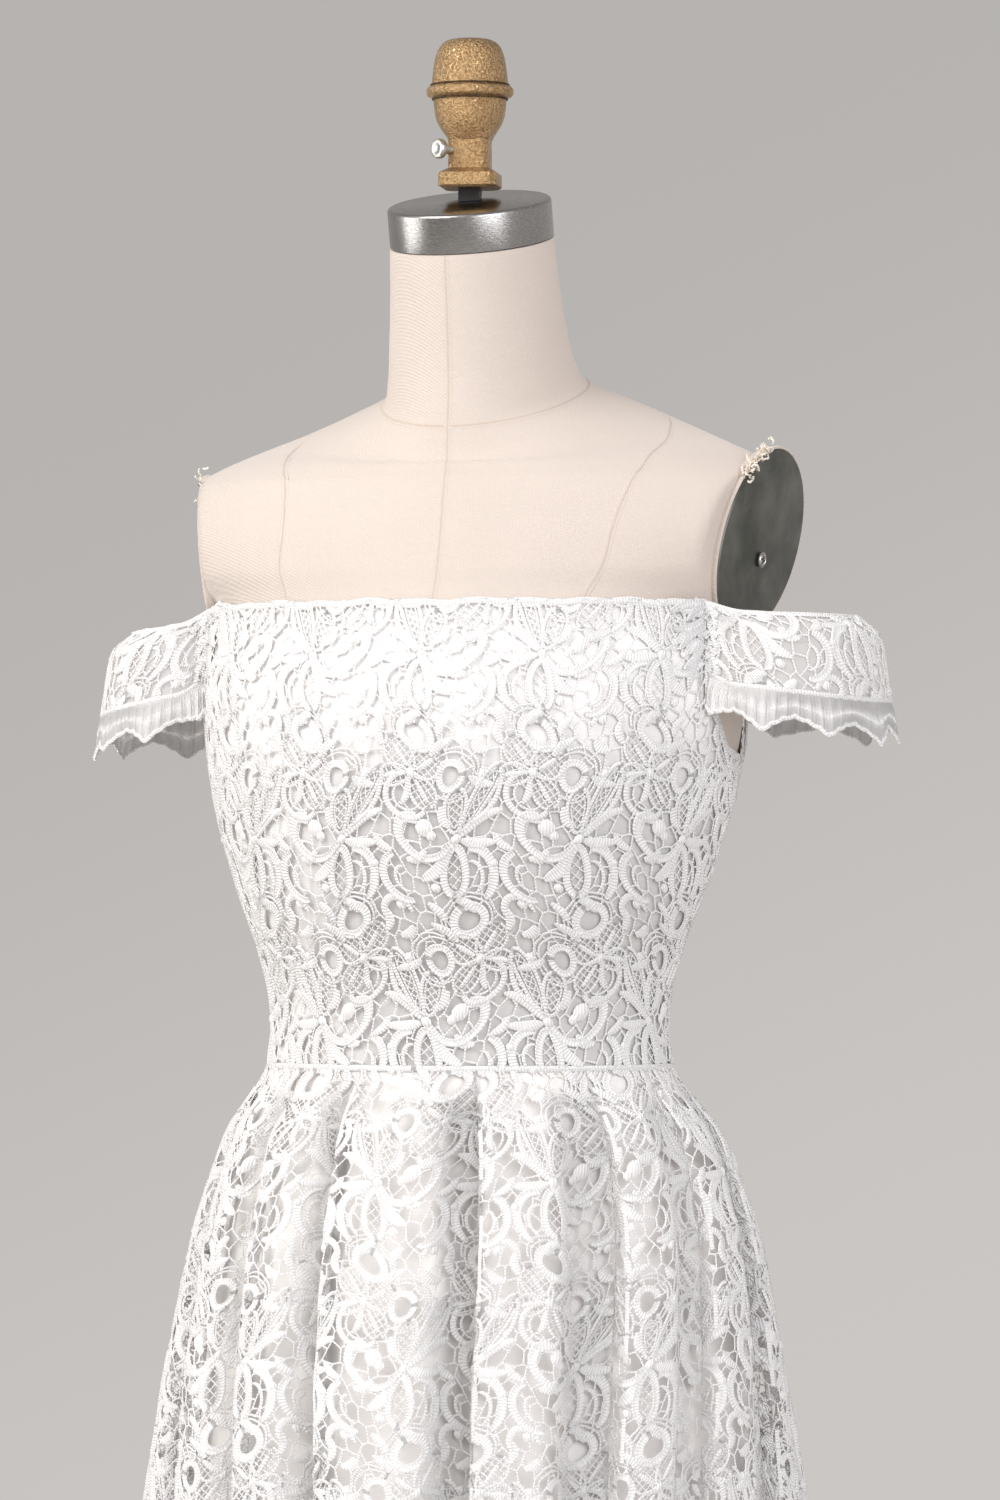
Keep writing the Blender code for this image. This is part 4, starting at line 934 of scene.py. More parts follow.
def lay_lace(name, charts, drawing, repeat, finish, painted_shade_at=None):
    """Repeat a drawing over charts, cut it at their edges and make one mesh of it.

    charts holds (chart, shift along, shift down); repeat is the drawing's width and height, or None for once;
    the last argument turns placed points into their share of painted shade deep in the pleats.
    """
    points = np.array(drawing.points)
    marks = np.array(drawing.marks) * MM
    quads = np.array([f for f in drawing.faces if len(f) == 4], int).reshape(-1, 4)
    tris = np.array([f for f in drawing.faces if len(f) == 3], int).reshape(-1, 3)
    all_points, all_marks, all_quads, all_tris = [], [], [], []
    total = 0
    for chart, shift_x, shift_y in charts:
        if repeat:
            first_x = math.floor((chart.low.min() / MM - shift_x) / repeat[0]) - 1
            last_x = math.ceil((chart.high.max() / MM - shift_x) / repeat[0]) + 1
            first_y = math.floor(-shift_y / repeat[1]) - 1
            last_y = math.ceil((chart.drops[-1] / MM - shift_y) / repeat[1]) + 1
            places = [(i * repeat[0] + shift_x, j * repeat[1] + shift_y)
                      for i in range(first_x, last_x) for j in range(first_y, last_y)]
        else:
            places = [(shift_x, shift_y)]
        for dx, dy in places:
            flat = points[:, :2] + (dx, dy)
            placed, inside = chart.place(flat, points[:, 2] + LACE_CLEAR)
            if not inside.any():
                continue
            keep_q = quads[inside[quads].any(1)]
            keep_t = tris[inside[tris].any(1)]
            used = np.unique(np.concatenate([keep_q.ravel(), keep_t.ravel()]))
            if not len(used):
                continue
            lookup = np.zeros(len(points), int)
            lookup[used] = np.arange(len(used)) + total
            turn = 1 if chart.mirrored else -1
            all_quads.append(lookup[keep_q][:, ::turn])
            all_tris.append(lookup[keep_t][:, ::turn])
            all_points.append(placed[used])
            all_marks.append(marks[used])
            total += len(used)
    every = np.concatenate(all_points)
    made = new_mesh(name, every, [np.concatenate(all_quads), np.concatenate(all_tris)], finish,
                    np.concatenate(all_marks))
    if painted_shade_at:
        mark_painted_shade(made, painted_shade_at(every))
    return made


def sweep(name, paths, finish, profile, width, height, closed=False):
    """Low cord along paths in space; each path is (points, normals)."""
    points, faces, marks = [], [], []
    rows = len(profile)
    start = 0
    for path, normals in paths:
        path, normals = np.asarray(path), np.asarray(normals)
        along = np.roll(path, -1, 0) - np.roll(path, 1, 0)
        if not closed:
            along[0], along[-1] = path[1] - path[0], path[-1] - path[-2]
        side = unit(np.cross(along, normals))
        run = lengths_along(path)
        for across, lift in profile:
            points.append(path + side * across * width / 2.0 + normals * lift * height)
            marks.append(np.stack([run, np.full(len(run), across * width / 2.0)], 1))
        count = len(path)
        i = np.arange(count if closed else count - 1)
        k = (i + 1) % count
        for j in range(rows - 1):
            a = start + j * count
            b = a + count
            faces.append(np.stack([a + i, b + i, b + k, a + k], 1))
        start += rows * count
    return new_mesh(name, np.concatenate(points), [np.concatenate(faces)], finish, np.concatenate(marks))


# Blender's wave bands repeat every this many metres over their scale
WAVE_SPAN = 0.3142
STITCH_BUNDLE = 0.0019
# Shares of a cloth's brightness: painted shade between stitches, between and on threads, and painted shade
# deep in a pleat or under the bust
BETWEEN_STITCHES = 0.82
BETWEEN_THREADS = 0.94
ON_THREADS = 1.04
LACE_IN_SHADE = 0.55
CLOTH_IN_SHADE = 0.44


def linear(hex_colour):
    """Linear red, green and blue of an sRGB hex colour."""
    values = [int(hex_colour[i:i + 2], 16) / 255.0 for i in (1, 3, 5)]
    return tuple(v / 12.92 if v <= 0.04045 else ((v + 0.055) / 1.055) ** 2.4 for v in values)


def feed(tree, node, links):
    """Join other nodes' outputs to a node's sockets."""
    for key, (source, output) in links.items():
        tree.links.new(source.outputs[output], node.inputs[key])


def add_node(tree, kind, values=None, links=None, **settings):
    """Add a node: settings are its own properties, values its sockets, links what feeds them."""
    node = tree.nodes.new(kind)
    for key, value in settings.items():
        setattr(node, key, value)
    for key, value in (values or {}).items():
        node.inputs[key].default_value = value
    feed(tree, node, links or {})
    return node


def start_material(name):
    """Empty node material with its shader joined to the output."""
    made = bpy.data.materials.new(name)
    made.use_nodes = True
    return made, made.node_tree, made.node_tree.nodes["Principled BSDF"]


def set_shader(shader, **values):
    """Constants on the shader's own sockets."""
    for key, value in values.items():
        shader.inputs[key.replace("_", " ")].default_value = value


def let_light_through(tree, shader, colour, share):
    """Mix in a translucent part, as thin cloth shows when light falls on its far side."""
    glow = add_node(tree, "ShaderNodeBsdfTranslucent", {"Color": (*colour, 1.0)})
    both = add_node(tree, "ShaderNodeMixShader", {0: share}, {1: (shader, "BSDF"), 2: (glow, "BSDF")})
    feed(tree, tree.nodes["Material Output"], {"Surface": (both, "Shader")})


def tinted(colour, share=1.0):
    """Colour for a node's socket, with a share of its brightness."""
    return (*[min(1.0, c * share) for c in colour], 1.0)


def apply_painted_shade(tree, tone, colour, shader):
    """Darken a tone by the share of painted shade kept on each point, deep in a pleat or under the bust."""
    deep = add_node(tree, "ShaderNodeAttribute", attribute_name="painted_shade")
    shaded = add_node(tree, "ShaderNodeMix", {"B": colour}, {"Factor": (deep, "Fac"), "A": (tone, "Result")},
                      data_type="RGBA")
    feed(tree, shader, {"Base Color": (shaded, "Result")})


def make_guipure(name, colour, light_through):
    """Chemical lace: matt cotton satin stitch on a dissolved ground.

    The stitches lie across each cord, so the eye sees fine ribs with soft shade between them, from the bump
    and from painted shade in the tone. Where it hangs free, some light comes through it and the far side
    glows.
    """
    made, tree, shader = start_material(name)
    set_shader(shader, Roughness=0.72, Sheen_Weight=0.25, Sheen_Roughness=0.5, Specular_IOR_Level=0.35)
    shader.inputs["Sheen Tint"].default_value = (1.0, 0.98, 0.96, 1.0)
    marks = add_node(tree, "ShaderNodeUVMap", uv_map="stitches")
    place = add_node(tree, "ShaderNodeTexCoord")
    uneven = add_node(tree, "ShaderNodeTexNoise", {"Scale": 900.0}, {"Vector": (place, "Object")})
    # Real stitches lie 0.3 mm apart; drawn in bundles of 1.9 mm so that they show.
    ribs = add_node(tree, "ShaderNodeTexWave",
                    {"Scale": WAVE_SPAN / STITCH_BUNDLE, "Distortion": 0.6, "Detail": 1.0},
                    {"Vector": (marks, "UV")})
    low = add_node(tree, "ShaderNodeBump", {"Strength": 0.75, "Distance": 0.0006}, {"Height": (ribs, "Fac")})
    fuzz = add_node(tree, "ShaderNodeBump", {"Strength": 0.35, "Distance": 0.0002},
                    {"Height": (uneven, "Fac"), "Normal": (low, "Normal")})
    # Painted shade: the tone is darker between the stitches' ribs.
    shade = add_node(tree, "ShaderNodeMapRange", {"From Max": 0.5}, {"Value": (ribs, "Fac")})
    tone = add_node(tree, "ShaderNodeMix", {"A": tinted(colour, BETWEEN_STITCHES), "B": tinted(colour)},
                    {"Factor": (shade, "Result")}, data_type="RGBA")
    # Painted shade: the lace's tone darkens deep in a pleat.
    apply_painted_shade(tree, tone, tinted(colour, LACE_IN_SHADE), shader)
    feed(tree, shader, {"Normal": (fuzz, "Normal")})
    if light_through:
        let_light_through(tree, shader, colour, light_through)
    return made


def make_woven(name, colour, thread_mm, twill, roughness, depth, sheen, light_through=0.0):
    """Fine woven or jersey cloth: crossed threads, or slanting ribs where twill is set."""
    made, tree, shader = start_material(name)
    set_shader(shader, Roughness=roughness, Sheen_Weight=sheen, Sheen_Roughness=0.45, Specular_IOR_Level=0.3)
    place = add_node(tree, "ShaderNodeTexCoord")
    slant = math.tan(math.radians(twill))
    # One set of threads runs down the cloth and its slope follows the twill; the other crosses it.
    across = add_node(tree, "ShaderNodeVectorMath", {1: (slant, slant, 1.0)}, {0: (place, "Object")},
                      operation="DOT_PRODUCT")
    along = add_node(tree, "ShaderNodeVectorMath", {1: (1.0, 1.0, -0.35 * slant)}, {0: (place, "Object")},
                     operation="DOT_PRODUCT")
    waves = []
    for source in (across, along):
        line = add_node(tree, "ShaderNodeCombineXYZ", links={"X": (source, "Value")})
        waves.append(add_node(tree, "ShaderNodeTexWave", {"Scale": WAVE_SPAN / (thread_mm * MM)},
                              {"Vector": (line, "Vector")}))
    both = add_node(tree, "ShaderNodeMath", {1: 0.3}, {0: (waves[1], "Fac"), 2: (waves[0], "Fac")},
                    operation="MULTIPLY_ADD")
    at = {"Vector": (place, "Object")}
    cloud = add_node(tree, "ShaderNodeTexNoise", {"Scale": 14.0, "Detail": 3.0}, at)
    slub = add_node(tree, "ShaderNodeTexNoise", {"Scale": 330.0}, at)
    rise = add_node(tree, "ShaderNodeMath", {}, {0: (both, "Value"), 1: (slub, "Fac")}, operation="MULTIPLY")
    bump = add_node(tree, "ShaderNodeBump", {"Strength": 0.5, "Distance": depth}, {"Height": (rise, "Value")})
    mottle = add_node(tree, "ShaderNodeMath", {}, {0: (rise, "Value"), 1: (cloud, "Fac")}, operation="ADD")
    share = add_node(tree, "ShaderNodeMapRange", {"From Min": 0.3, "From Max": 1.15},
                     {"Value": (mottle, "Value")})
    tone = add_node(tree, "ShaderNodeMix",
                    {"A": tinted(colour, BETWEEN_THREADS), "B": tinted(colour, ON_THREADS)},
                    {"Factor": (share, "Result")}, data_type="RGBA")
    # Painted shade: the cloth's tone darkens deep in a pleat or under the bust.
    apply_painted_shade(tree, tone, tinted(colour, CLOTH_IN_SHADE), shader)
    feed(tree, shader, {"Normal": (bump, "Normal")})
    if light_through:
        let_light_through(tree, shader, colour, light_through)
    return made


def make_metal(name, colour, dark, roughness, metallic, grain, depth, stretch=(1.0, 1.0, 1.0), patchy=0.12,
               brushed=0.0):
    """Metal with a grain: stretch draws scratches out along one way, and the dark tone lies in the low spots.

    Patchy is how far its shine varies; brushed draws its highlights out across a turned grain.
    """
    made, tree, shader = start_material(name)
    set_shader(shader, Metallic=metallic, Anisotropic=brushed)
    place = add_node(tree, "ShaderNodeTexCoord")
    turn = add_node(tree, "ShaderNodeMapping", {"Scale": stretch}, {"Vector": (place, "Object")})
    fine = add_node(tree, "ShaderNodeTexNoise", {"Scale": grain, "Detail": 5.0, "Roughness": 0.6},
                    {"Vector": (turn, "Vector")})
    wide = add_node(tree, "ShaderNodeTexNoise", {"Scale": 60.0, "Detail": 3.0}, {"Vector": (place, "Object")})
    rough = add_node(tree, "ShaderNodeMapRange", {"To Min": roughness - patchy, "To Max": roughness + patchy},
                     {"Value": (wide, "Fac")})
    crisp = add_node(tree, "ShaderNodeMapRange", {"From Min": 0.34, "From Max": 0.62},
                     {"Value": (fine, "Fac")})
    bump = add_node(tree, "ShaderNodeBump", {"Strength": 0.8, "Distance": depth},
                    {"Height": (crisp, "Result")})
    tone = add_node(tree, "ShaderNodeMix", {"A": tinted(linear(dark)), "B": tinted(linear(colour))},
                    {"Factor": (crisp, "Result")}, data_type="RGBA")
    feed(tree, shader, {
        "Base Color": (tone, "Result"), "Roughness": (rough, "Result"), "Normal": (bump, "Normal")})
    return made


def make_floor_paint(colour):
    """Matt emulsion on a studio floor: flat, with a barely seen cloudiness."""
    made, tree, shader = start_material("studio_emulsion")
    set_shader(shader, Roughness=0.85)
    place = add_node(tree, "ShaderNodeTexCoord")
    cloud = add_node(tree, "ShaderNodeTexNoise", {"Scale": 1.5}, {"Vector": (place, "Object")})
    tone = add_node(tree, "ShaderNodeMix", {"A": tinted(colour, 0.98), "B": tinted(colour)},
                    {"Factor": (cloud, "Fac")}, data_type="RGBA")
    feed(tree, shader, {"Base Color": (tone, "Result")})
    return made


def bodice_charts():
    """Flat charts of the bodice's front and two backs."""
    heights = np.concatenate([np.linspace(NECKLINE_Z, ARMHOLE_CORNER_Z, 16)[:-1],
                              np.linspace(ARMHOLE_CORNER_Z, WAIST_Z, 34)])
    charts = []
    for low, high, columns, zero in (
            (-SIDE_SEAM, SIDE_SEAM, 161, 80), (SIDE_SEAM, 180.0, 81, 80), (-180.0, -SIDE_SEAM, 81, 0)):
        points, angles = bodice_grid(low, high, columns, heights)
        chart = Chart(points, grid_normals(points, False), zero, angles)
        drops = chart.drops

        def top_drop(angle, drops=drops):
            """How far down the chart the top edge lies at an angle."""
            edge = np.interp(np.abs(angle), *np.array(TOP_EDGE).T)
            return np.interp(-edge, -heights, drops)

        chart.top_drop = top_drop
        charts.append(chart)
    return charts


def top_edge_path(inset):
    """Points and normals along the bodice's whole top edge, with the armholes."""
    fine = []
    for (a0, z0), (a1, z1) in zip(TOP_EDGE, TOP_EDGE[1:]):
        steps = max(2, int(abs(a1 - a0) / 1.5) + int(abs(z1 - z0) / 0.004))
        fine += [(a0 + (a1 - a0) * k / steps, z0 + (z1 - z0) * k / steps) for k in range(steps)]
    right = [(-a, z) for a, z in reversed(fine[1:])]
    every = np.array(right + fine)
    angle, height = every[:, 0], every[:, 1] - inset
    points = section(angle, height, *row_values(BODICE_ROWS, height))
    lower = section(angle, height - 0.003, *row_values(BODICE_ROWS, height - 0.003))
    beside = section(angle + 0.5, height, *row_values(BODICE_ROWS, height))
    return points, unit(np.cross(lower - points, beside - points))


def gathered_folds(chart, finish):
    """Lace bunched where the sleeves join the front, most of all on the wearer's left."""
    folds = Drawing()
    row = 8
    marks = chart.first + chart.step * np.arange(chart.grid.shape[1])
    left, right = (float(np.interp(a, chart.grid[row, :, 6], marks)) / MM for a in (64.5, -64.5))
    for x0, y0, x1, y1, bend, width, height in (
            (3.0, 4.0, -24.0, 8.0, 0.14, 7.0, 2.2), (4.0, 10.0, -20.0, 19.0, -0.12, 6.5, 2.6),
            (4.0, 17.0, -13.0, 33.0, 0.12, 6.0, 2.4), (3.5, 25.0, -7.0, 46.0, -0.10, 6.0, 2.0),
            (2.5, 36.0, -1.0, 58.0, 0.08, 5.0, 1.6), (3.0, 3.0, -11.0, 14.0, 0.20, 5.0, 3.0)):
        folds.leaf((left + x0, y0), (left + x1, y1), bend, width, 9, height=height)
    for x0, y0, x1, y1, bend, width, height in (
            (-1.0, 3.0, 12.0, 8.0, -0.16, 7.0, 2.4), (-1.0, 12.0, 8.0, 28.0, 0.12, 6.5, 2.4),
            (-1.0, 26.0, 4.0, 48.0, 0.10, 6.0, 2.0)):
        folds.leaf((right + x0, y0), (right + x1, y1), bend, width, 9, height=height)
    for x, y, radius in ((-3.0, 8.0, 3.4), (-9.0, 20.0, 3.0), (-2.0, 29.0, 3.0)):
        folds.ball((left + x, y), radius, 2.6)
    return lay_lace("gathered_lace", [(chart, 0.0, 0.0)], folds, None, finish)


def build_bodice(look):
    """Lining, lace and edge cords of the bodice."""
    heights = np.concatenate([np.linspace(NECKLINE_Z - LINING_BELOW_EDGE, ARMHOLE_CORNER_Z, 12)[:-1],
                              np.linspace(ARMHOLE_CORNER_Z, ARMHOLE_BOTTOM_Z, 8)[:-1],
                              np.linspace(ARMHOLE_BOTTOM_Z, WAIST_Z, 24)])
    columns = 240
    points, angles = bodice_grid(-180.0, 180.0, columns + 1, heights)
    points, angles = points[:, :-1], angles[:, :-1]
    points = points - grid_normals(points, True) * LINING_DEPTH
    edge = np.interp(np.abs(angles), *np.array(TOP_EDGE).T) - LINING_BELOW_EDGE
    points[..., 2] = np.minimum(points[..., 2], edge)
    height = np.broadcast_to(heights[:, None], edge.shape)
    keep = height[1:] < edge[:-1] + 1e-6
    lining = cloth_from_grid("bodice_lining", points, look["lining"], closed=True, keep=keep)
    kept = np.array([v.co[:] for v in lining.data.vertices])
    # Painted shade: under the bust the lining is darkened, less so on the wearer's right, which faces the
    # window light.
    away = smooth_share((kept[:, 0] - UNDER_BUST_LIT_X) / UNDER_BUST_TURN)
    below = smooth_share((UNDER_BUST_Z - kept[:, 2]) / UNDER_BUST_FADE)
    mark_painted_shade(lining, UNDER_BUST_SHADE * (UNDER_BUST_LEAST + (1.0 - UNDER_BUST_LEAST) * away) * below)
    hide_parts("bodice_lining_front", "bodice_lining_back_left", "bodice_lining_back_right")
    charts = bodice_charts()
    repeat = (LACE_WIDTH, 2.0 * LACE_HALF_HEIGHT)
    laid = [(charts[0], *FRONT_PHASE), (charts[1], *LEFT_BACK_PHASE), (charts[2], *RIGHT_BACK_PHASE)]
    lace = lay_lace("bodice_lace", laid, look["drawing"], repeat, look["lace"])
    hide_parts("bodice_lace_front", "bodice_lace_back_left", "bodice_lace_back_right")
    gathers = gathered_folds(charts[0], look["lace"])
    path, normals = top_edge_path(0.0016)
    beat = np.arange(len(path))
    path[:, 2] += 0.0006 * np.sin(beat * 0.83) + 0.0005 * np.sin(beat * 0.37 + 1.0)
    cord = sweep("neckline_and_armhole_cord", [(path, normals)], look["lace"], DOUBLE_CORD, *NECKLINE_CORD,
                 closed=True)
    waist = section(np.linspace(0, 360, 240, endpoint=False), WAIST_Z, *row_values(BODICE_ROWS, WAIST_Z))
    outward = unit(waist * (1, 1, 0))
    seam = sweep("waist_cord", [(waist, outward)], look["lace"], CORD, *WAIST_CORD, closed=True)
    for piece in (lining, lace, cord, seam, gathers):
        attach(piece, "root")


def skirt_heights():
    """Heights of the skirt's rows, closer near the waist."""
    return WAIST_Z - (WAIST_Z - HEM_Z) * np.linspace(0.0, 1.0, 56) ** 1.25


def lace_cover(drawing):
    """Share of the flat lace that is thread and not gap."""
    points = np.array(drawing.points)
    total = 0.0
    for face in drawing.faces:
        x, y = points[list(face), 0], points[list(face), 1]
        total += 0.5 * abs(float(x @ np.roll(y, -1) - y @ np.roll(x, -1)))
    return total / (LACE_WIDTH * 2.0 * LACE_HALF_HEIGHT)


def pleat_shade(points):
    """Share of painted shade on points of the skirt, from 0 on a panel to 1 at the foot of a sharp edge."""
    angles, drops, crests = pleat_stations()
    height = points[:, 2]
    half_width, front, back, centre_y, _ = row_values(SKIRT_ROWS, np.clip(height, HEM_Z, WAIST_Z))
    y = (centre_y - points[:, 1]) / np.where(points[:, 1] < centre_y, front, back)
    turn = np.degrees(np.arctan2(points[:, 0] / half_width, y))
    plain = turn.copy()
    for _ in range(4):
        plain = turn - waist_spread(plain, height)
    low = angles[0]
    plain = (plain - low) % 360.0 + low
    lie = np.interp(plain, np.append(angles, low + 360.0), np.append(drops, drops[0]))
    edges = np.sort(angles[crests])
    ahead = edges[np.searchsorted(edges, plain) % len(edges)]
    gap = (ahead - plain) % 360.0
    close = np.exp(-(gap / SHADE_REACH) ** 2)
    fade = smooth_share((WAIST_Z - height) / SHADE_FADE)
    from_front = (plain + 180.0) % 360.0 - 180.0
    middle = np.exp(-((from_front - SHADE_MIDDLE) / SHADE_SPREAD) ** 2)
    strength = SHADE_AT_SIDES + (1.0 - SHADE_AT_SIDES) * middle
    return np.clip(lie, 0.0, 1.0) * (SHADE_OPEN + (1.0 - SHADE_OPEN) * close) * fade * strength


def build_skirt(look):
    """Pleated lace, pleat by pleat, and the plain lining inside it."""
    heights = skirt_heights()
    points, crests = skirt_grid(heights, 2)
    normals = grid_normals(points, True)
    angle = np.linspace(0, 360, 360, endpoint=False)[None, :]
    inner_heights = np.linspace(WAIST_Z, LINING_HEM_Z, 30)[:, None]
    half_width, front, back, centre_y, depth = row_values(SKIRT_ROWS, inner_heights)
    gap = SKIRT_LINING_GAP * smooth_share((WAIST_Z - inner_heights) / 0.02)
    inner = section(angle, inner_heights, half_width, front, back, centre_y)
    inner = drawn_in(inner, centre_y, depth + gap + 0.001)
    lining = cloth_from_grid("underskirt", inner, look["underskirt"], closed=True)
    # Painted shade: the underskirt is darkened deep in the pleats.
    mark_painted_shade(lining, pleat_shade(inner.reshape(-1, 3)))
    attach(lining, "root")
    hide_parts("skirt_lining_front", "skirt_lining_back_left", "skirt_lining_back_right")
    count = points.shape[1]
    charts = []
    phase = SKIRT_PHASE[0]
    for index, crest in enumerate(crests):
        following = crests[(index + 1) % len(crests)] + (count if index + 1 == len(crests) else 0)
        pick = np.arange(crest - TURN_STEPS, following - TURN_STEPS + 1) % count
        chart = Chart(points[:, pick], normals[:, pick], TURN_STEPS)
        charts.append((chart, phase, SKIRT_PHASE[1]))
        phase -= (chart.high[len(heights) // 2] - chart.low[len(heights) // 2]) / MM + PLEAT_HIDDEN
    repeat = (LACE_WIDTH, 2.0 * LACE_HALF_HEIGHT)
    # Painted shade: the lace is darkened deep in the pleats.
    for place, numbers in SKIRT_GROUPS:
        lace = lay_lace("lace_skirt_" + place, [charts[i] for i in numbers], look["drawing"], repeat,
                        look["lace"], pleat_shade)
        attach(lace, "root")
    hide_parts("skirt_lace_front")
    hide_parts("skirt_lace_back_left")
    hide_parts("skirt_lace_back_right")
    random = np.random.default_rng(5)
    folds = []
    for crest in crests:
        row = int(random.integers(2, 6))
        while row < len(heights) - 4:
            end = min(row + int(random.integers(3, 6)), len(heights))
            beat = np.arange(row, end)[:, None]
            outward = normals[row:end, crest]
            path = points[row:end, crest] + outward * (0.0001 + 0.0004 * np.sin(beat * 1.7 + crest))
            folds.append((path, outward))
            row = end + int(random.integers(1, 3))
    edges = sweep("pleat_edge_folds", folds, look["lace"], CORD, *PLEAT_EDGE_CORD)
    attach(edges, "root")
    hem = sweep("skirt_hem_cord", [(points[-1], normals[-1])], look["lace"], DOUBLE_CORD, *HEM_CORD,
                closed=True)
    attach(hem, "root")


def border_grid(hang):
    """Ribbed border of a sleeve with pointed scallops and small picots along its edge."""
    shares = np.linspace(0.0, 1.0, BORDER_RIBS * 16 + 1)
    tips = np.array(SLEEVE_TIPS)
    nearest = np.argmin(np.abs(shares[:, None] - tips[None, :]), axis=1)
    near = shares - tips[nearest]
    half_gap = (tips[2] - tips[1]) / 2.0
    pointed = np.clip(1.0 - np.abs(near) / half_gap, 0.0, 1.0)
    edge = BORDER_VALLEY + (BORDER_TIP - BORDER_VALLEY) * pointed ** 1.35 * np.array(TIP_SHARES)[nearest]
    edge += 0.0009 * np.abs(np.sin(np.pi * shares * BORDER_RIBS))
    rows = np.linspace(0.0, 1.0, 11)[:, None]
    below = rows * edge[None, :]
    fan = shares[None, :] - 0.22 * near[None, :] * rows ** 1.5 * pointed[None, :]
    points = np.empty((len(rows), len(shares), 3))
    for j in range(len(rows)):
        points[j] = sleeve_grid(fan[j], [SLEEVE_SEAM], hang, below[j][None, :])[0]
    normals = grid_normals(points, False)
    beat = (shares * BORDER_RIBS) % 1.0
    ribs = np.exp(-((beat - 0.30) / 0.085) ** 2) + np.exp(-((beat - 0.58) / 0.085) ** 2)
    lift = 0.0002 + 0.0019 * ribs[None, :] * np.sin(np.pi * (0.06 + 0.86 * rows))
    swing = 0.5 + 0.5 * np.cos(np.pi * (shares - tips[1]) / half_gap)
    flare = 0.0045 * rows ** 1.3 * swing[None, :]
    return points + normals * (lift + flare)[..., None], normals


def join_path(points, normals, column, aside):
    """Wavy path down a sleeve's end where it is gathered into the bodice, and the way it faces."""
    end = points[:, column]
    inward = unit(end - points[:, column + (4 if column >= 0 else -4)])
    path = end + inward * (aside + 0.0016 * np.sin(np.arange(len(end)) * 1.4 + aside * 900.0))[:, None]
    facing = unit(normals[:, column] + unit(path * (1.0, 1.0, 0.0)))
    wave = np.arange(len(path))[:, None]
    return path + facing * (0.0002 + 0.0003 * np.sin(wave * 1.9)), facing


def gather_tucks(points, normals):
    """Short tucks that run off the bodice over a sleeve's gathered front end, and the way they face."""
    path, facing = join_path(points, normals, 0, 0.0)
    tucks = []
    for row in range(1, len(points) - 2, 2):
        inward = unit(points[row, 0] - points[row, 4])
        reach = 0.006 + 0.003 * math.sin(row * 2.3)
        end = 5 + int(2.0 * math.sin(row * 1.7))
        start = path[row] + inward * reach + facing[row] * 0.0036 + (0.0, 0.0, 0.003)
        line = np.array([start, path[row] + facing[row] * 0.0024, points[row, 2] + normals[row, 2] * 0.0008,
                         points[row + 1, end] + normals[row + 1, end] * 0.0003])
        tucks.append((line, np.array([facing[row], facing[row], normals[row, 2], normals[row + 1, end]])))
    return tucks


def build_sleeves(look):
    """Lace bands off the shoulder with a ribbed pointed border."""
    repeat = (LACE_WIDTH, 2.0 * LACE_HALF_HEIGHT)
    for place, phase in SLEEVE_PHASES.items():
        hang = SLEEVE_HANG[place]
        mirrored = place == "right"
        flip = np.array((-1.0 if mirrored else 1.0, 1.0, 1.0))
        points = sleeve_grid(np.linspace(0.0, 1.0, 121), np.linspace(0.0, SLEEVE_SEAM, 15), hang)
        normals = grid_normals(points, False)
        backing = cloth_from_grid("sleeve_backing_" + place, (points - normals * 0.0011) * flip,
                                  look["thin_lining"], flip=mirrored)
        chart = Chart(points, normals, 60, mirrored=mirrored)
        lace = lay_lace("sleeve_lace_" + place, [(chart, *phase)], look["drawing"], repeat, look["lace"])
        border, border_normals = border_grid(hang)
        edge = cloth_from_grid("sleeve_border_" + place, border * flip, look["thin_lace"], flip=mirrored)
        cords = []
        for which, row, out in (("top", points[0], normals[0]), ("seam", points[-1], normals[-1]),
                                ("tips", border[-1], border_normals[-1])):
            cords.append(sweep("sleeve_cord_" + place + "_" + which, [(row * flip, out * flip)], look["lace"],
                               CORD, SLEEVE_CORD_WIDTHS[which], SLEEVE_CORD_HEIGHT))
        gathers = [join_path(points, normals, *at) for at in SLEEVE_JOINS] + gather_tucks(points, normals)
        joins = [(path * flip, out * flip) for path, out in gathers]
        cords.append(sweep("sleeve_join_" + place, joins, look["lace"], DOUBLE_CORD, *SLEEVE_JOIN_CORD))
        for piece in (backing, lace, edge, *cords):
            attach(piece, "root")
        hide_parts("sleeve_" + place + "_front", "sleeve_" + place + "_back")


def arm_normal():
    """Outward direction of the wearer's left arm plate."""
    level = math.cos(ARM_PLATE_DOWN)
    return np.array((math.cos(ARM_PLATE_FORWARD) * level, -math.sin(ARM_PLATE_FORWARD) * level,
                     -math.sin(ARM_PLATE_DOWN)))


def form_grid(angles, heights):
    """Points of the form's cover, top first, cut flat at the arm plates."""
    hips = [(*row, 0.0) for row in HIP_ROWS]
    body = []
    for z, *sizes in BODICE_ROWS:
        share = float(smooth_share((z - WAIST_Z) / WAIST_EASE_HEIGHT))
        inset = FORM_WAIST_INSET + (FORM_INSET - FORM_WAIST_INSET) * share
        body.append((z, sizes[0] - inset, sizes[1] - inset, sizes[2] - inset, sizes[3], 0.0))
    table = [*hips, *body, *SHOULDER_ROWS]
    height = np.asarray(heights)[:, None]
    angle = np.asarray(angles)[None, :]
    points = section(angle, height, *row_values(table, height))
    normal = arm_normal()
    side = np.where(points[..., 0] >= 0.0, 1.0, -1.0)
    mirror = np.stack([side, np.ones_like(side), np.ones_like(side)], -1)
    local = points * mirror
    past = np.where(side > 0.0, (local - ARM_PLATE_CENTRES["left"]) @ normal,
                    (local - ARM_PLATE_CENTRES["right"]) @ normal)
    cut = (past > 0.0) & (height > ARM_FLAT_FROM_Z)
    local[..., 0] -= np.where(cut, past / normal[0], 0.0)
    return local * mirror


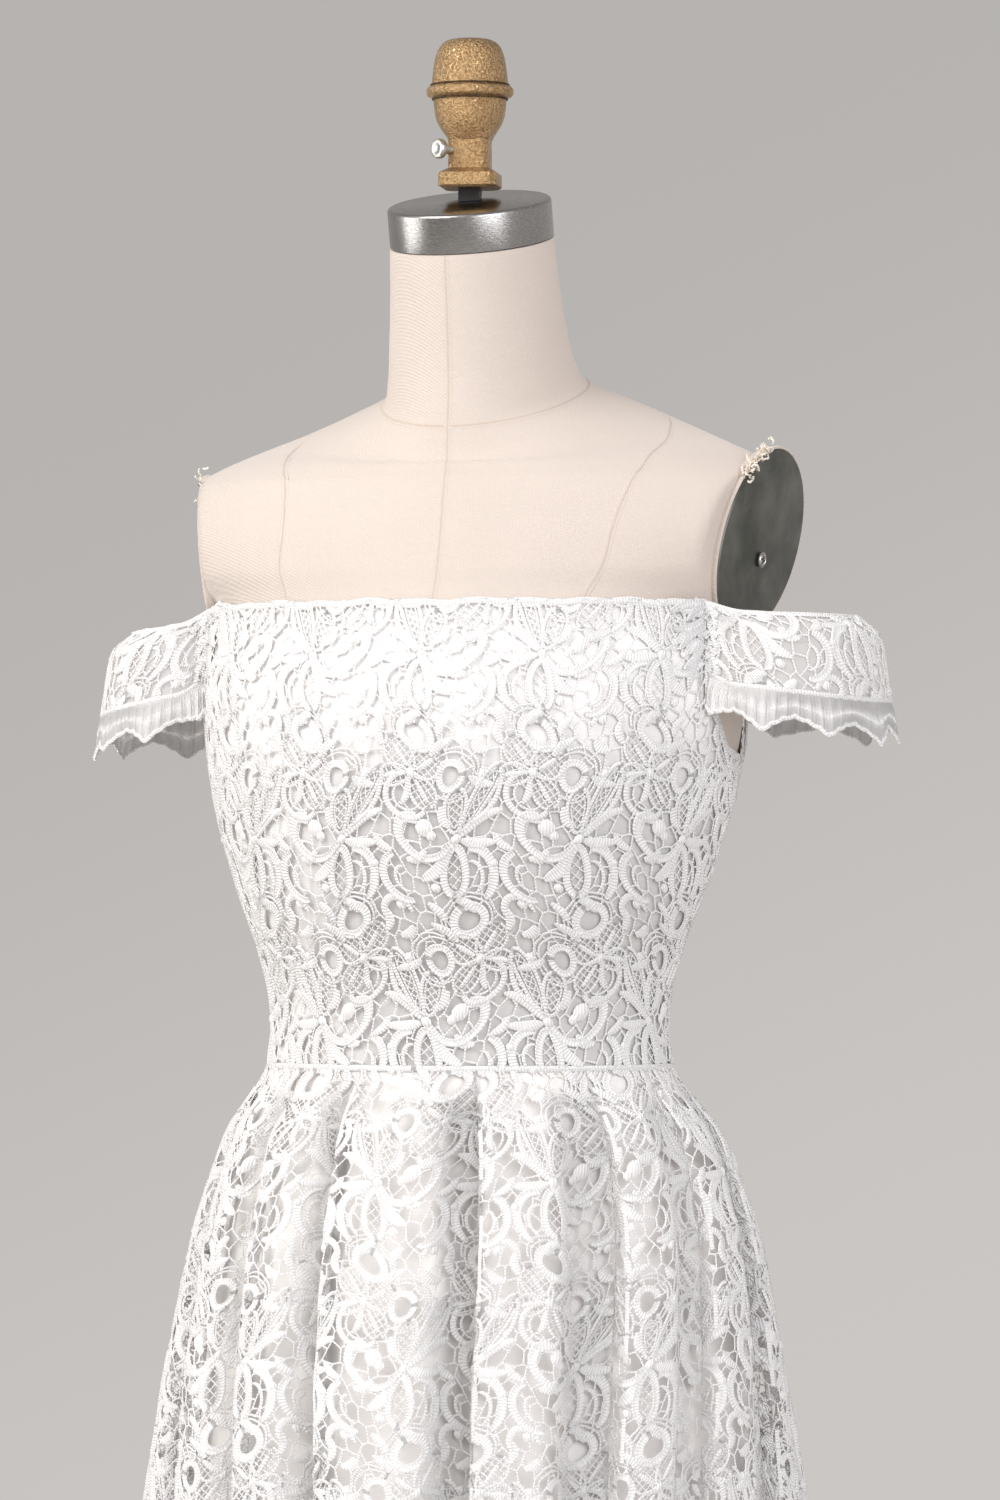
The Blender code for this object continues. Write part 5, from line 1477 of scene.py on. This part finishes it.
def form_line(table, steps):
    """Path on the form through a short table of degrees and heights, with its normals."""
    fixed = np.array(table, float)
    key = np.arange(len(fixed))
    at = np.linspace(0, len(fixed) - 1, steps)
    angles, heights = row_values(np.column_stack([key, fixed]), at)

    def point(a, z):
        """Points of the form at pairs of angle and height."""
        grid = form_grid(a, z)
        return grid[np.arange(len(z)), np.arange(len(a))]

    here = point(angles, heights)
    return here, unit(np.cross(point(angles, heights - 0.003) - here, point(angles + 1.5, heights) - here))


def build_form(look):
    """Jersey cover of the form with its seams."""
    heights = np.concatenate([np.linspace(NECK_TOP_Z, NECK_BASE_Z, 34)[:-1],
                              np.linspace(NECK_BASE_Z, ARM_FLAT_FROM_Z, 70)[:-1],
                              np.linspace(ARM_FLAT_FROM_Z, FORM_BOTTOM_Z, 60)])
    columns = 160
    angles = np.linspace(-180.0, 180.0, columns, endpoint=False)
    points = form_grid(angles, heights)
    cover = cloth_from_grid("form_cover", points, look["cover"], closed=True)
    ring = np.arange(columns)
    corners = [tuple(p) for p in points[0]] + [tuple(p) for p in points[-1]]
    ends = plain_piece("form_ends", corners, [tuple(ring), tuple(ring[::-1] + columns)], look["cover"])
    seams = []
    for name, table in FORM_SEAMS.items():
        line = form_line(table, 60)
        seams.append(sweep("form_seam_" + name, [line], look["cover"], SEAM_RIDGE, *SEAM_RIDGE_SIZE))
        # The seam's darker band is partly the thread's own tone and partly painted shade in the seam's
        # crease.
        seams.append(sweep("form_stitch_" + name, [line], look["seam_thread"], SEAM_THREAD,
                           STITCH_WIDTHS.get(name, STITCH_WIDTH), STITCH_HEIGHT))
    for piece in (cover, ends, *seams):
        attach(piece, "root")
    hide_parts("form_body")


def turned(name, profile, finish, origin, axis=(0.0, 0.0, 1.0), sides=96, shape=None):
    """Turned piece from (height, radius, squareness) rows along an axis, bottom first, with closed ends."""
    spin = Vector((0.0, 0.0, 1.0)).rotation_difference(Vector(axis))
    rings = []
    for height, radius, *form in profile:
        ring = []
        for i in range(sides):
            turn = 2.0 * math.pi * i / sides
            grow = shape(turn, form[0]) if shape and form else 1.0
            ring.append(Vector(origin) + spin @ Vector(
                (radius * grow * math.cos(turn), radius * grow * math.sin(turn), height)))
        rings.append(ring)
    points = [tuple(p) for ring in rings for p in ring]
    faces = ring_faces(rings)
    faces.append(tuple(range(sides))[::-1])
    faces.append(tuple(i + (len(rings) - 1) * sides for i in range(sides)))
    return plain_piece(name, points, faces, finish, 32.0)


def rounded_profile(rows, steps=5):
    """Profile with soft curves between its rows."""
    table = [(k, *row) for k, row in enumerate(rows)]
    at = np.linspace(0, len(rows) - 1, (len(rows) - 1) * steps + 1)
    return [tuple(float(v) for v in row) for row in np.stack(row_values(table, at), -1)]


def chamfered_square(turn, strength):
    """Radius share of a square with cut corners, blended with a circle."""
    local = (turn - FINIAL_TURN) % (math.pi / 2.0)
    local = min(local, math.pi / 2.0 - local)
    side = 1.0 / math.cos(local)
    corner = 1.24 / math.cos(math.pi / 4.0 - local)
    return 1.0 + strength * (min(side, corner) - 1.0)


def build_neck_and_finial(look):
    """Steel neck plate, cast finial and its clamp screw."""
    axis = Vector((0.0, -math.sin(NECK_TILT), math.cos(NECK_TILT)))
    plate = turned("neck_cap", NECK_CAP, look["steel"], NECK_TOP_CENTRE + axis * 0.0003, axis)
    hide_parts("neck_plate")
    outline = [*FINIAL_STEM, *rounded_profile(FINIAL_BOWL, 4)[1:], *rounded_profile(FINIAL_RIM, 3),
               *rounded_profile(FINIAL_DOME, 4)]
    foot = (0.0, 0.0, FINIAL_FOOT_Z)
    finial = turned("cast_finial", outline, look["brass"], foot, sides=72, shape=chamfered_square)
    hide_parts("finial")
    # Painted shade: dark rings in the casting's corners, under its rim and over it.
    grooves = []
    for name, low, high, radius in FINIAL_PAINTED_SHADE:
        inner = radius - 0.0012
        ring = ((low, inner), (low + 0.0003, radius), (high - 0.0003, radius), (high, inner))
        groove = turned("finial_painted_shade_" + name, ring, look["dirty_brass"], foot, sides=72)
        grooves.append(groove)
    way = Vector((math.sin(SCREW_AZIMUTH), -math.cos(SCREW_AZIMUTH), 0.0))
    seat = Vector((0.0, 0.0, SCREW_Z)) + way * CLAMP_SCREW_OUT
    screw = turned("clamp_screw", CLAMP_SCREW, look["zinc"], seat, way, 40)
    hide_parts("finial_screw")
    for piece in (plate, finial, screw, *grooves):
        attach(piece, "root")


def arm_plate_frame(side):
    """Centre, outward, level and upright directions of an arm plate."""
    normal = Vector(arm_normal())
    level = Vector((0.0, 0.0, 1.0)).cross(normal).normalized()
    up = normal.cross(level)
    centre = Vector(ARM_PLATE_CENTRES["left" if side > 0.0 else "right"])
    turned_level = level * math.cos(ARM_PLATE_LEAN) - up * math.sin(ARM_PLATE_LEAN)
    turned_up = up * math.cos(ARM_PLATE_LEAN) + level * math.sin(ARM_PLATE_LEAN)
    return centre, normal, turned_level, turned_up


def oval_rings(side, rows, steps=96):
    """Rings of points round an arm plate from (depth out, growth) rows; depth and growth in metres."""
    centre, normal, level, up = arm_plate_frame(side)
    rings = []
    for depth, growth in rows:
        ring = []
        for i in range(steps):
            turn = 2.0 * math.pi * i / steps
            point = (centre + normal * depth + level * (ARM_PLATE_HALF[0] + growth) * math.cos(turn)
                     + up * (ARM_PLATE_HALF[1] + growth) * math.sin(turn))
            ring.append((side * point.x, point.y, point.z))
        rings.append(ring)
    return rings


def joined_rings(name, rings, finish, side, close_far=True, sharp=25.0):
    """Object from rings of points, shut at the far end."""
    steps = len(rings[0])
    points = [p for ring in rings for p in ring]
    faces = ring_faces(rings)
    if close_far:
        faces.append(tuple(i + steps * (len(rings) - 1) for i in range(steps)))
    if side < 0:
        faces = [face[::-1] for face in faces]
    return plain_piece(name, points, faces, finish, sharp)


def build_arm_plates(look):
    """Oval steel plates let into the cover's turned edge, each with a cross-slotted screw."""
    for place, side in (("left", 1.0), ("right", -1.0)):
        plate = joined_rings("arm_cap_" + place, oval_rings(side, ARM_CAP), look["dark_steel"], side)
        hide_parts("arm_plate_" + place)
        edge = joined_rings("cover_edge_" + place, oval_rings(side, COVER_EDGE), look["cover"], side,
                            close_far=False, sharp=80.0)
        centre, normal, _, _ = arm_plate_frame(side)
        foot = centre + normal * 0.0038 + Vector((0.0, 0.0, -ARM_SCREW_DROP))
        way = Vector((side * normal.x, normal.y, normal.z))
        foot = Vector((side * foot.x, foot.y, foot.z))
        screw = turned("arm_cap_screw_" + place, ARM_SCREW, look["zinc"], foot, way, 32)
        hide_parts("arm_screw_" + place)
        # Painted shade: dark bars stand in for the shade inside the screw's slots.
        slots = screw_slots("arm_cap_slots_" + place, foot + way * 0.00115, way, look["black_metal"])
        for piece in (plate, edge, screw, slots):
            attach(piece, "root")


def screw_slots(name, centre, way, finish):
    """Crossed slots of a screw head, drawn as two thin dark bars that barely stand out: painted shade for the
    slots' insides.
    """
    level = way.cross(Vector((0.0, 0.0, 1.0))).normalized()
    up = level.cross(way)
    points = []
    faces = []
    for turn in (0.35, 0.35 + math.pi / 2.0):
        long_way = level * math.cos(turn) + up * math.sin(turn)
        short_way = way.cross(long_way)
        start = len(points)
        for across, along in ((-1, -1), (1, -1), (1, 1), (-1, 1)):
            for lift in (0.0, 0.00025):
                corner = long_way * along * 0.0024 + short_way * across * 0.0005
                points.append(tuple(centre + corner + way * lift))
        faces += [tuple(start + i for i in face) for face in (
            (1, 3, 5, 7), (0, 2, 3, 1), (2, 4, 5, 3), (4, 6, 7, 5), (6, 0, 1, 7))]
    return plain_piece(name, points, faces, finish)


def curled_thread(start, way, length, random):
    """Path and normals of one short frayed thread."""
    count = 9
    path = [np.array(start)]
    heading = np.array(way, float)
    for _ in range(count - 1):
        heading = unit(heading + random.normal(0.0, 0.75, 3))
        path.append(path[-1] + heading * length / (count - 1))
    path = np.array(path)
    along = np.gradient(path, axis=0)
    return path, unit(np.cross(along, random.normal(0.0, 1.0, 3)))


def build_frayed_threads(look):
    """Frayed ends of the jersey over the left arm plate's top and at the right shoulder's corner."""
    random = np.random.default_rng(11)
    paths = []
    for side, share, count, reach in FRAYED:
        rings = oval_rings(side, ((0.0036, 0.0016),), 200)
        for _ in range(count):
            at = random.uniform(*share)
            start = np.array(rings[0][int(at * 200) % 200]) + random.normal(0.0, 0.0014, 3)
            length = reach * random.uniform(0.6, 1.2)
            paths.append(curled_thread(start, (side * 0.6, -0.5, 0.1), length, random))
    fray = sweep("frayed_jersey_threads", paths, look["frayed_thread"], CORD, *FRAYED_THREAD)
    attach(fray, "root")


def build_stand(look):
    """Pole and weighted base, plainly finished, and the finial's square rod."""
    base = turned("stand_foot", STAND_FOOT, look["black_metal"], (0.0, 0.0, 0.0), sides=128)
    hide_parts("base")
    pole = turned("stand_pole", STAND_POLE, look["steel"], (0.0, 0.0, POLE_FOOT_Z), sides=48)
    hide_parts("pole")
    for piece in (base, pole):
        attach(piece, "root")
    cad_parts["rod"].data.materials.clear()
    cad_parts["rod"].data.materials.append(look["black_metal"])


def add_soft_light(name, place, size, power, tone):
    """Square area light aimed at the bodice."""
    data = bpy.data.lights.new(name, "AREA")
    data.shape = "SQUARE"
    data.size = size
    data.energy = power
    data.color = linear(tone)
    lamp = in_scene(name, data)
    lamp.location = place
    lamp.rotation_euler = (Vector(LIGHTS_AIM) - Vector(place)).to_track_quat("-Z", "Y").to_euler()


def build_backdrop(settings):
    """Even grey air behind the dress, a little lighter low down and towards the wearer's left."""
    world = bpy.data.worlds.new("studio_air")
    world.use_nodes = True
    tree = world.node_tree
    way = add_node(tree, "ShaderNodeTexCoord")
    turn = settings.view_turn
    slope = (BACKDROP_SIDE * math.cos(turn), BACKDROP_SIDE * math.sin(turn), -1.0)
    level = add_node(tree, "ShaderNodeVectorMath", {1: slope}, {0: (way, "Generated")},
                     operation="DOT_PRODUCT")
    share = add_node(tree, "ShaderNodeMapRange", {"From Min": -BACKDROP_RISE, "From Max": BACKDROP_RISE},
                     {"Value": (level, "Value")}, interpolation_type="SMOOTHSTEP")
    tone = add_node(tree, "ShaderNodeMix",
                    {"A": tinted(linear(BACKDROP_HIGH)), "B": tinted(linear(BACKDROP_LOW))},
                    {"Factor": (share, "Result")}, data_type="RGBA")
    feed(tree, tree.nodes["Background"], {"Color": (tone, "Result")})
    bpy.context.scene.world = world


def build_studio(settings):
    """Floor, world, lights and camera."""
    sides = 96
    turns = [2 * math.pi * i / sides for i in range(sides)]
    ring = [(settings.floor_radius * math.cos(a), settings.floor_radius * math.sin(a), 0.0) for a in turns]
    floor = plain_piece("studio_floor", ring, [tuple(range(sides))], make_floor_paint(settings.floor_colour))
    build_backdrop(settings)
    # The default view transform would turn the lace's whites grey.
    bpy.context.scene.view_settings.view_transform = "Standard"
    for light in SOFT_LIGHTS:
        add_soft_light(*light)
    turn = settings.view_turn
    data = bpy.data.cameras.new("photo_view")
    data.sensor_width = 36.0
    data.lens = VIEW_LENS
    camera = in_scene("photo_view", data)
    away = settings.view_distance
    place = Vector((away * math.sin(turn), -away * math.cos(turn), VIEW_HEIGHT))
    target = Vector((VIEW_SIDE * math.cos(turn), VIEW_SIDE * math.sin(turn), VIEW_TARGET_Z))
    camera.location = place
    camera.rotation_euler = (target - place).to_track_quat("-Z", "Y").to_euler()
    bpy.context.scene.camera = camera


def colour_choice(name, text, default):
    """Colour property with its default given in linear light."""
    return bpy.props.FloatVectorProperty(
        name=name, description=text, subtype="COLOR", size=3, min=0.0, max=1.0, default=linear(default))


class DressSettings(bpy.types.PropertyGroup):
    """Sizes and colours of the dress, its form and the studio."""

    lace_colour: colour_choice("Lace", "Cotton of the guipure lace", "#faf9f9")
    lining_colour: colour_choice("Lining", "Plain cloth under the lace", "#f2f0ef")
    underskirt_colour: colour_choice("Underskirt", "Plain cloth inside the skirt", "#f5f2f0")
    cover_colour: colour_choice("Form cover", "Linen-coloured jersey of the form", "#cfc3ba")
    floor_colour: colour_choice("Floor", "Paint of the studio floor", "#cac6c2")
    lace_relief: bpy.props.FloatProperty(
        name="Lace relief", description="How thick the lace's cords stand, against their drawn height",
        default=1.0, min=0.2, max=2.0, subtype="FACTOR")
    floor_radius: bpy.props.FloatProperty(
        name="Floor radius", description="Radius of the round studio floor", default=4.0, min=1.0, max=20.0,
        subtype="DISTANCE", unit="LENGTH")
    view_turn: bpy.props.FloatProperty(
        name="View turn", description="Camera's turn to the wearer's left of the front",
        default=math.radians(19.0), subtype="ANGLE", unit="ROTATION")
    view_distance: bpy.props.FloatProperty(
        name="View distance", description="Camera's distance from the body's axis",
        default=4.5, min=1.0, subtype="DISTANCE", unit="LENGTH")


LOOK = {}


def prepare_look(settings):
    """Materials and the lace drawing, made once for all pieces."""
    if LOOK:
        return LOOK
    drawing = draw_repeat()
    drawing.points = [(x, y, lift * settings.lace_relief) for x, y, lift in drawing.points]
    LOOK.update(
        drawing=drawing,
        lace_cover=lace_cover(drawing),
        # Cotton guipure over a lining: matt ribbed stitches, hardly any light through them.
        lace=make_guipure("guipure_cotton_satin_stitch", settings.lace_colour, 0.12),
        # The same cotton where it hangs free: its far side glows a little.
        thin_lace=make_guipure("guipure_border_light_through", linear("#fefdfd"), 0.18),
        # Woven linings: smooth and softly bright. Real threads lie about 0.2 mm apart, too fine to show in
        # the render, and are drawn 1.2 mm apart.
        lining=make_woven("lining_plain_woven_satin", settings.lining_colour, 1.2, 0.0, 0.55, 0.00004, 0.15),
        thin_lining=make_woven("sleeve_lining_light_through", linear("#fbfafa"), 1.2, 0.0, 0.6, 0.00004, 0.15,
                               light_through=0.6),
        underskirt=make_woven("underskirt_plain_woven_satin", settings.underskirt_colour, 1.2, 0.0, 0.55,
                              0.00004, 0.15),
        # Spun cotton threads: dull. Their twist is drawn coarser than real, like the linings' threads.
        frayed_thread=make_woven("frayed_cotton_thread", linear("#efe5d8"), 0.8, 0.0, 0.9, 0.00005, 0.3),
        # The seam thread is darker than the cover: partly its own tone, partly painted shade in the seam's
        # crease.
        seam_thread=make_woven("form_seam_thread", linear("#c6b6a8"), 1.0, 0.0, 0.9, 0.00005, 0.1),
        # Knitted jersey with a twill face: matt, with slanting ribs about 1 mm apart, drawn 2.1 mm apart so
        # that they show.
        cover=make_woven("form_cover_twill_jersey", settings.cover_colour, 2.1, 38.0, 0.85, 0.0006, 0.3),
        # Steel turned on a lathe and brushed: fine rings that draw the highlights out across them.
        steel=make_metal("brushed_steel_lathe_grain", "#a9a7a5", "#868482", 0.22, 1.0, 420.0, 0.00002,
                         (1.0, 1.0, 9.0), patchy=0.02, brushed=0.65),
        # Rolled plate gone dark: cloudy and half dull.
        dark_steel=make_metal("dark_steel_rolled_plate", "#74756f", "#52544f", 0.40, 0.85, 26.0, 0.00005),
        # Brass cast in sand: a pebbled skin whose low spots stay brown.
        brass=make_metal("sand_cast_brass", "#c9a97f", "#8d6e49", 0.30, 1.0, 680.0, 0.0006),
        # Painted shade in the casting's corners: dark brown and dull.
        dirty_brass=make_metal("painted_shade_on_cast_brass", "#5a442b", "#2f2316", 0.6, 0.6, 300.0, 0.0003),
        # Zinc plate on a screw: pale, with a fine even grain.
        zinc=make_metal("zinc_plated_steel", "#d3d2ce", "#a5a4a1", 0.35, 1.0, 300.0, 0.00003),
        # Baked enamel on iron: black with a soft broad shine. The screws' slots also take it, as painted
        # shade.
        black_metal=make_metal("black_baked_enamel_and_slot_shade", "#232323", "#1b1b1b", 0.4, 0.0, 180.0, 0.00004),
    )
    return LOOK


class DRESS_OT_bodice(bpy.types.Operator):
    """Lining, lace and edge cords of the bodice"""

    bl_idname = "dress.bodice"
    bl_label = "Bodice"

    def execute(self, context):
        build_bodice(prepare_look(context.scene.dress))
        return {"FINISHED"}


class DRESS_OT_skirt(bpy.types.Operator):
    """Pleated lace skirt with its edge folds, hem and lining"""

    bl_idname = "dress.skirt"
    bl_label = "Skirt"

    def execute(self, context):
        build_skirt(prepare_look(context.scene.dress))
        return {"FINISHED"}


class DRESS_OT_sleeves(bpy.types.Operator):
    """Two lace sleeve bands with their borders"""

    bl_idname = "dress.sleeves"
    bl_label = "Sleeves"

    def execute(self, context):
        build_sleeves(prepare_look(context.scene.dress))
        return {"FINISHED"}


class DRESS_OT_form(bpy.types.Operator):
    """Covered dress form with its seams"""

    bl_idname = "dress.form"
    bl_label = "Dress form"

    def execute(self, context):
        build_form(prepare_look(context.scene.dress))
        return {"FINISHED"}


class DRESS_OT_fittings(bpy.types.Operator):
    """Neck plate, finial, arm plates and their screws"""

    bl_idname = "dress.fittings"
    bl_label = "Fittings"

    def execute(self, context):
        look = prepare_look(context.scene.dress)
        build_neck_and_finial(look)
        build_arm_plates(look)
        build_frayed_threads(look)
        return {"FINISHED"}


class DRESS_OT_stand(bpy.types.Operator):
    """Pole, weighted foot and the finial's rod"""

    bl_idname = "dress.stand"
    bl_label = "Stand"

    def execute(self, context):
        build_stand(prepare_look(context.scene.dress))
        return {"FINISHED"}


class DRESS_OT_studio(bpy.types.Operator):
    """Pale floor, soft lights and the camera"""

    bl_idname = "dress.studio"
    bl_label = "Studio"

    def execute(self, context):
        build_studio(context.scene.dress)
        return {"FINISHED"}


class DRESS_PT_sidebar(bpy.types.Panel):
    """Sizes, colours and pieces of the dress"""

    bl_label = "Wedding dress"
    bl_idname = "DRESS_PT_sidebar"
    bl_space_type = "VIEW_3D"
    bl_region_type = "UI"
    bl_category = "Dress"

    def draw(self, context):
        """List the settings and the pieces."""
        column = self.layout.column()
        for name in DressSettings.__annotations__:
            column.prop(context.scene.dress, name)
        for operator in OPERATORS:
            column.operator(operator.bl_idname)


OPERATORS = (
    DRESS_OT_bodice, DRESS_OT_skirt, DRESS_OT_sleeves, DRESS_OT_form, DRESS_OT_fittings, DRESS_OT_stand,
    DRESS_OT_studio,
)
CLASSES = (DressSettings, *OPERATORS, DRESS_PT_sidebar)


def register():
    """Register the settings, operators and panel."""
    for each in CLASSES:
        bpy.utils.register_class(each)
    bpy.types.Scene.dress = bpy.props.PointerProperty(type=DressSettings)


def unregister():
    """Take the settings, operators and panel away again."""
    del bpy.types.Scene.dress
    for each in reversed(CLASSES):
        bpy.utils.unregister_class(each)


def main():
    register()
    bpy.ops.dress.bodice()
    bpy.ops.dress.skirt()
    bpy.ops.dress.sleeves()
    bpy.ops.dress.form()
    bpy.ops.dress.fittings()
    bpy.ops.dress.stand()
    bpy.ops.dress.studio()


if __name__ == "__main__":
    main()
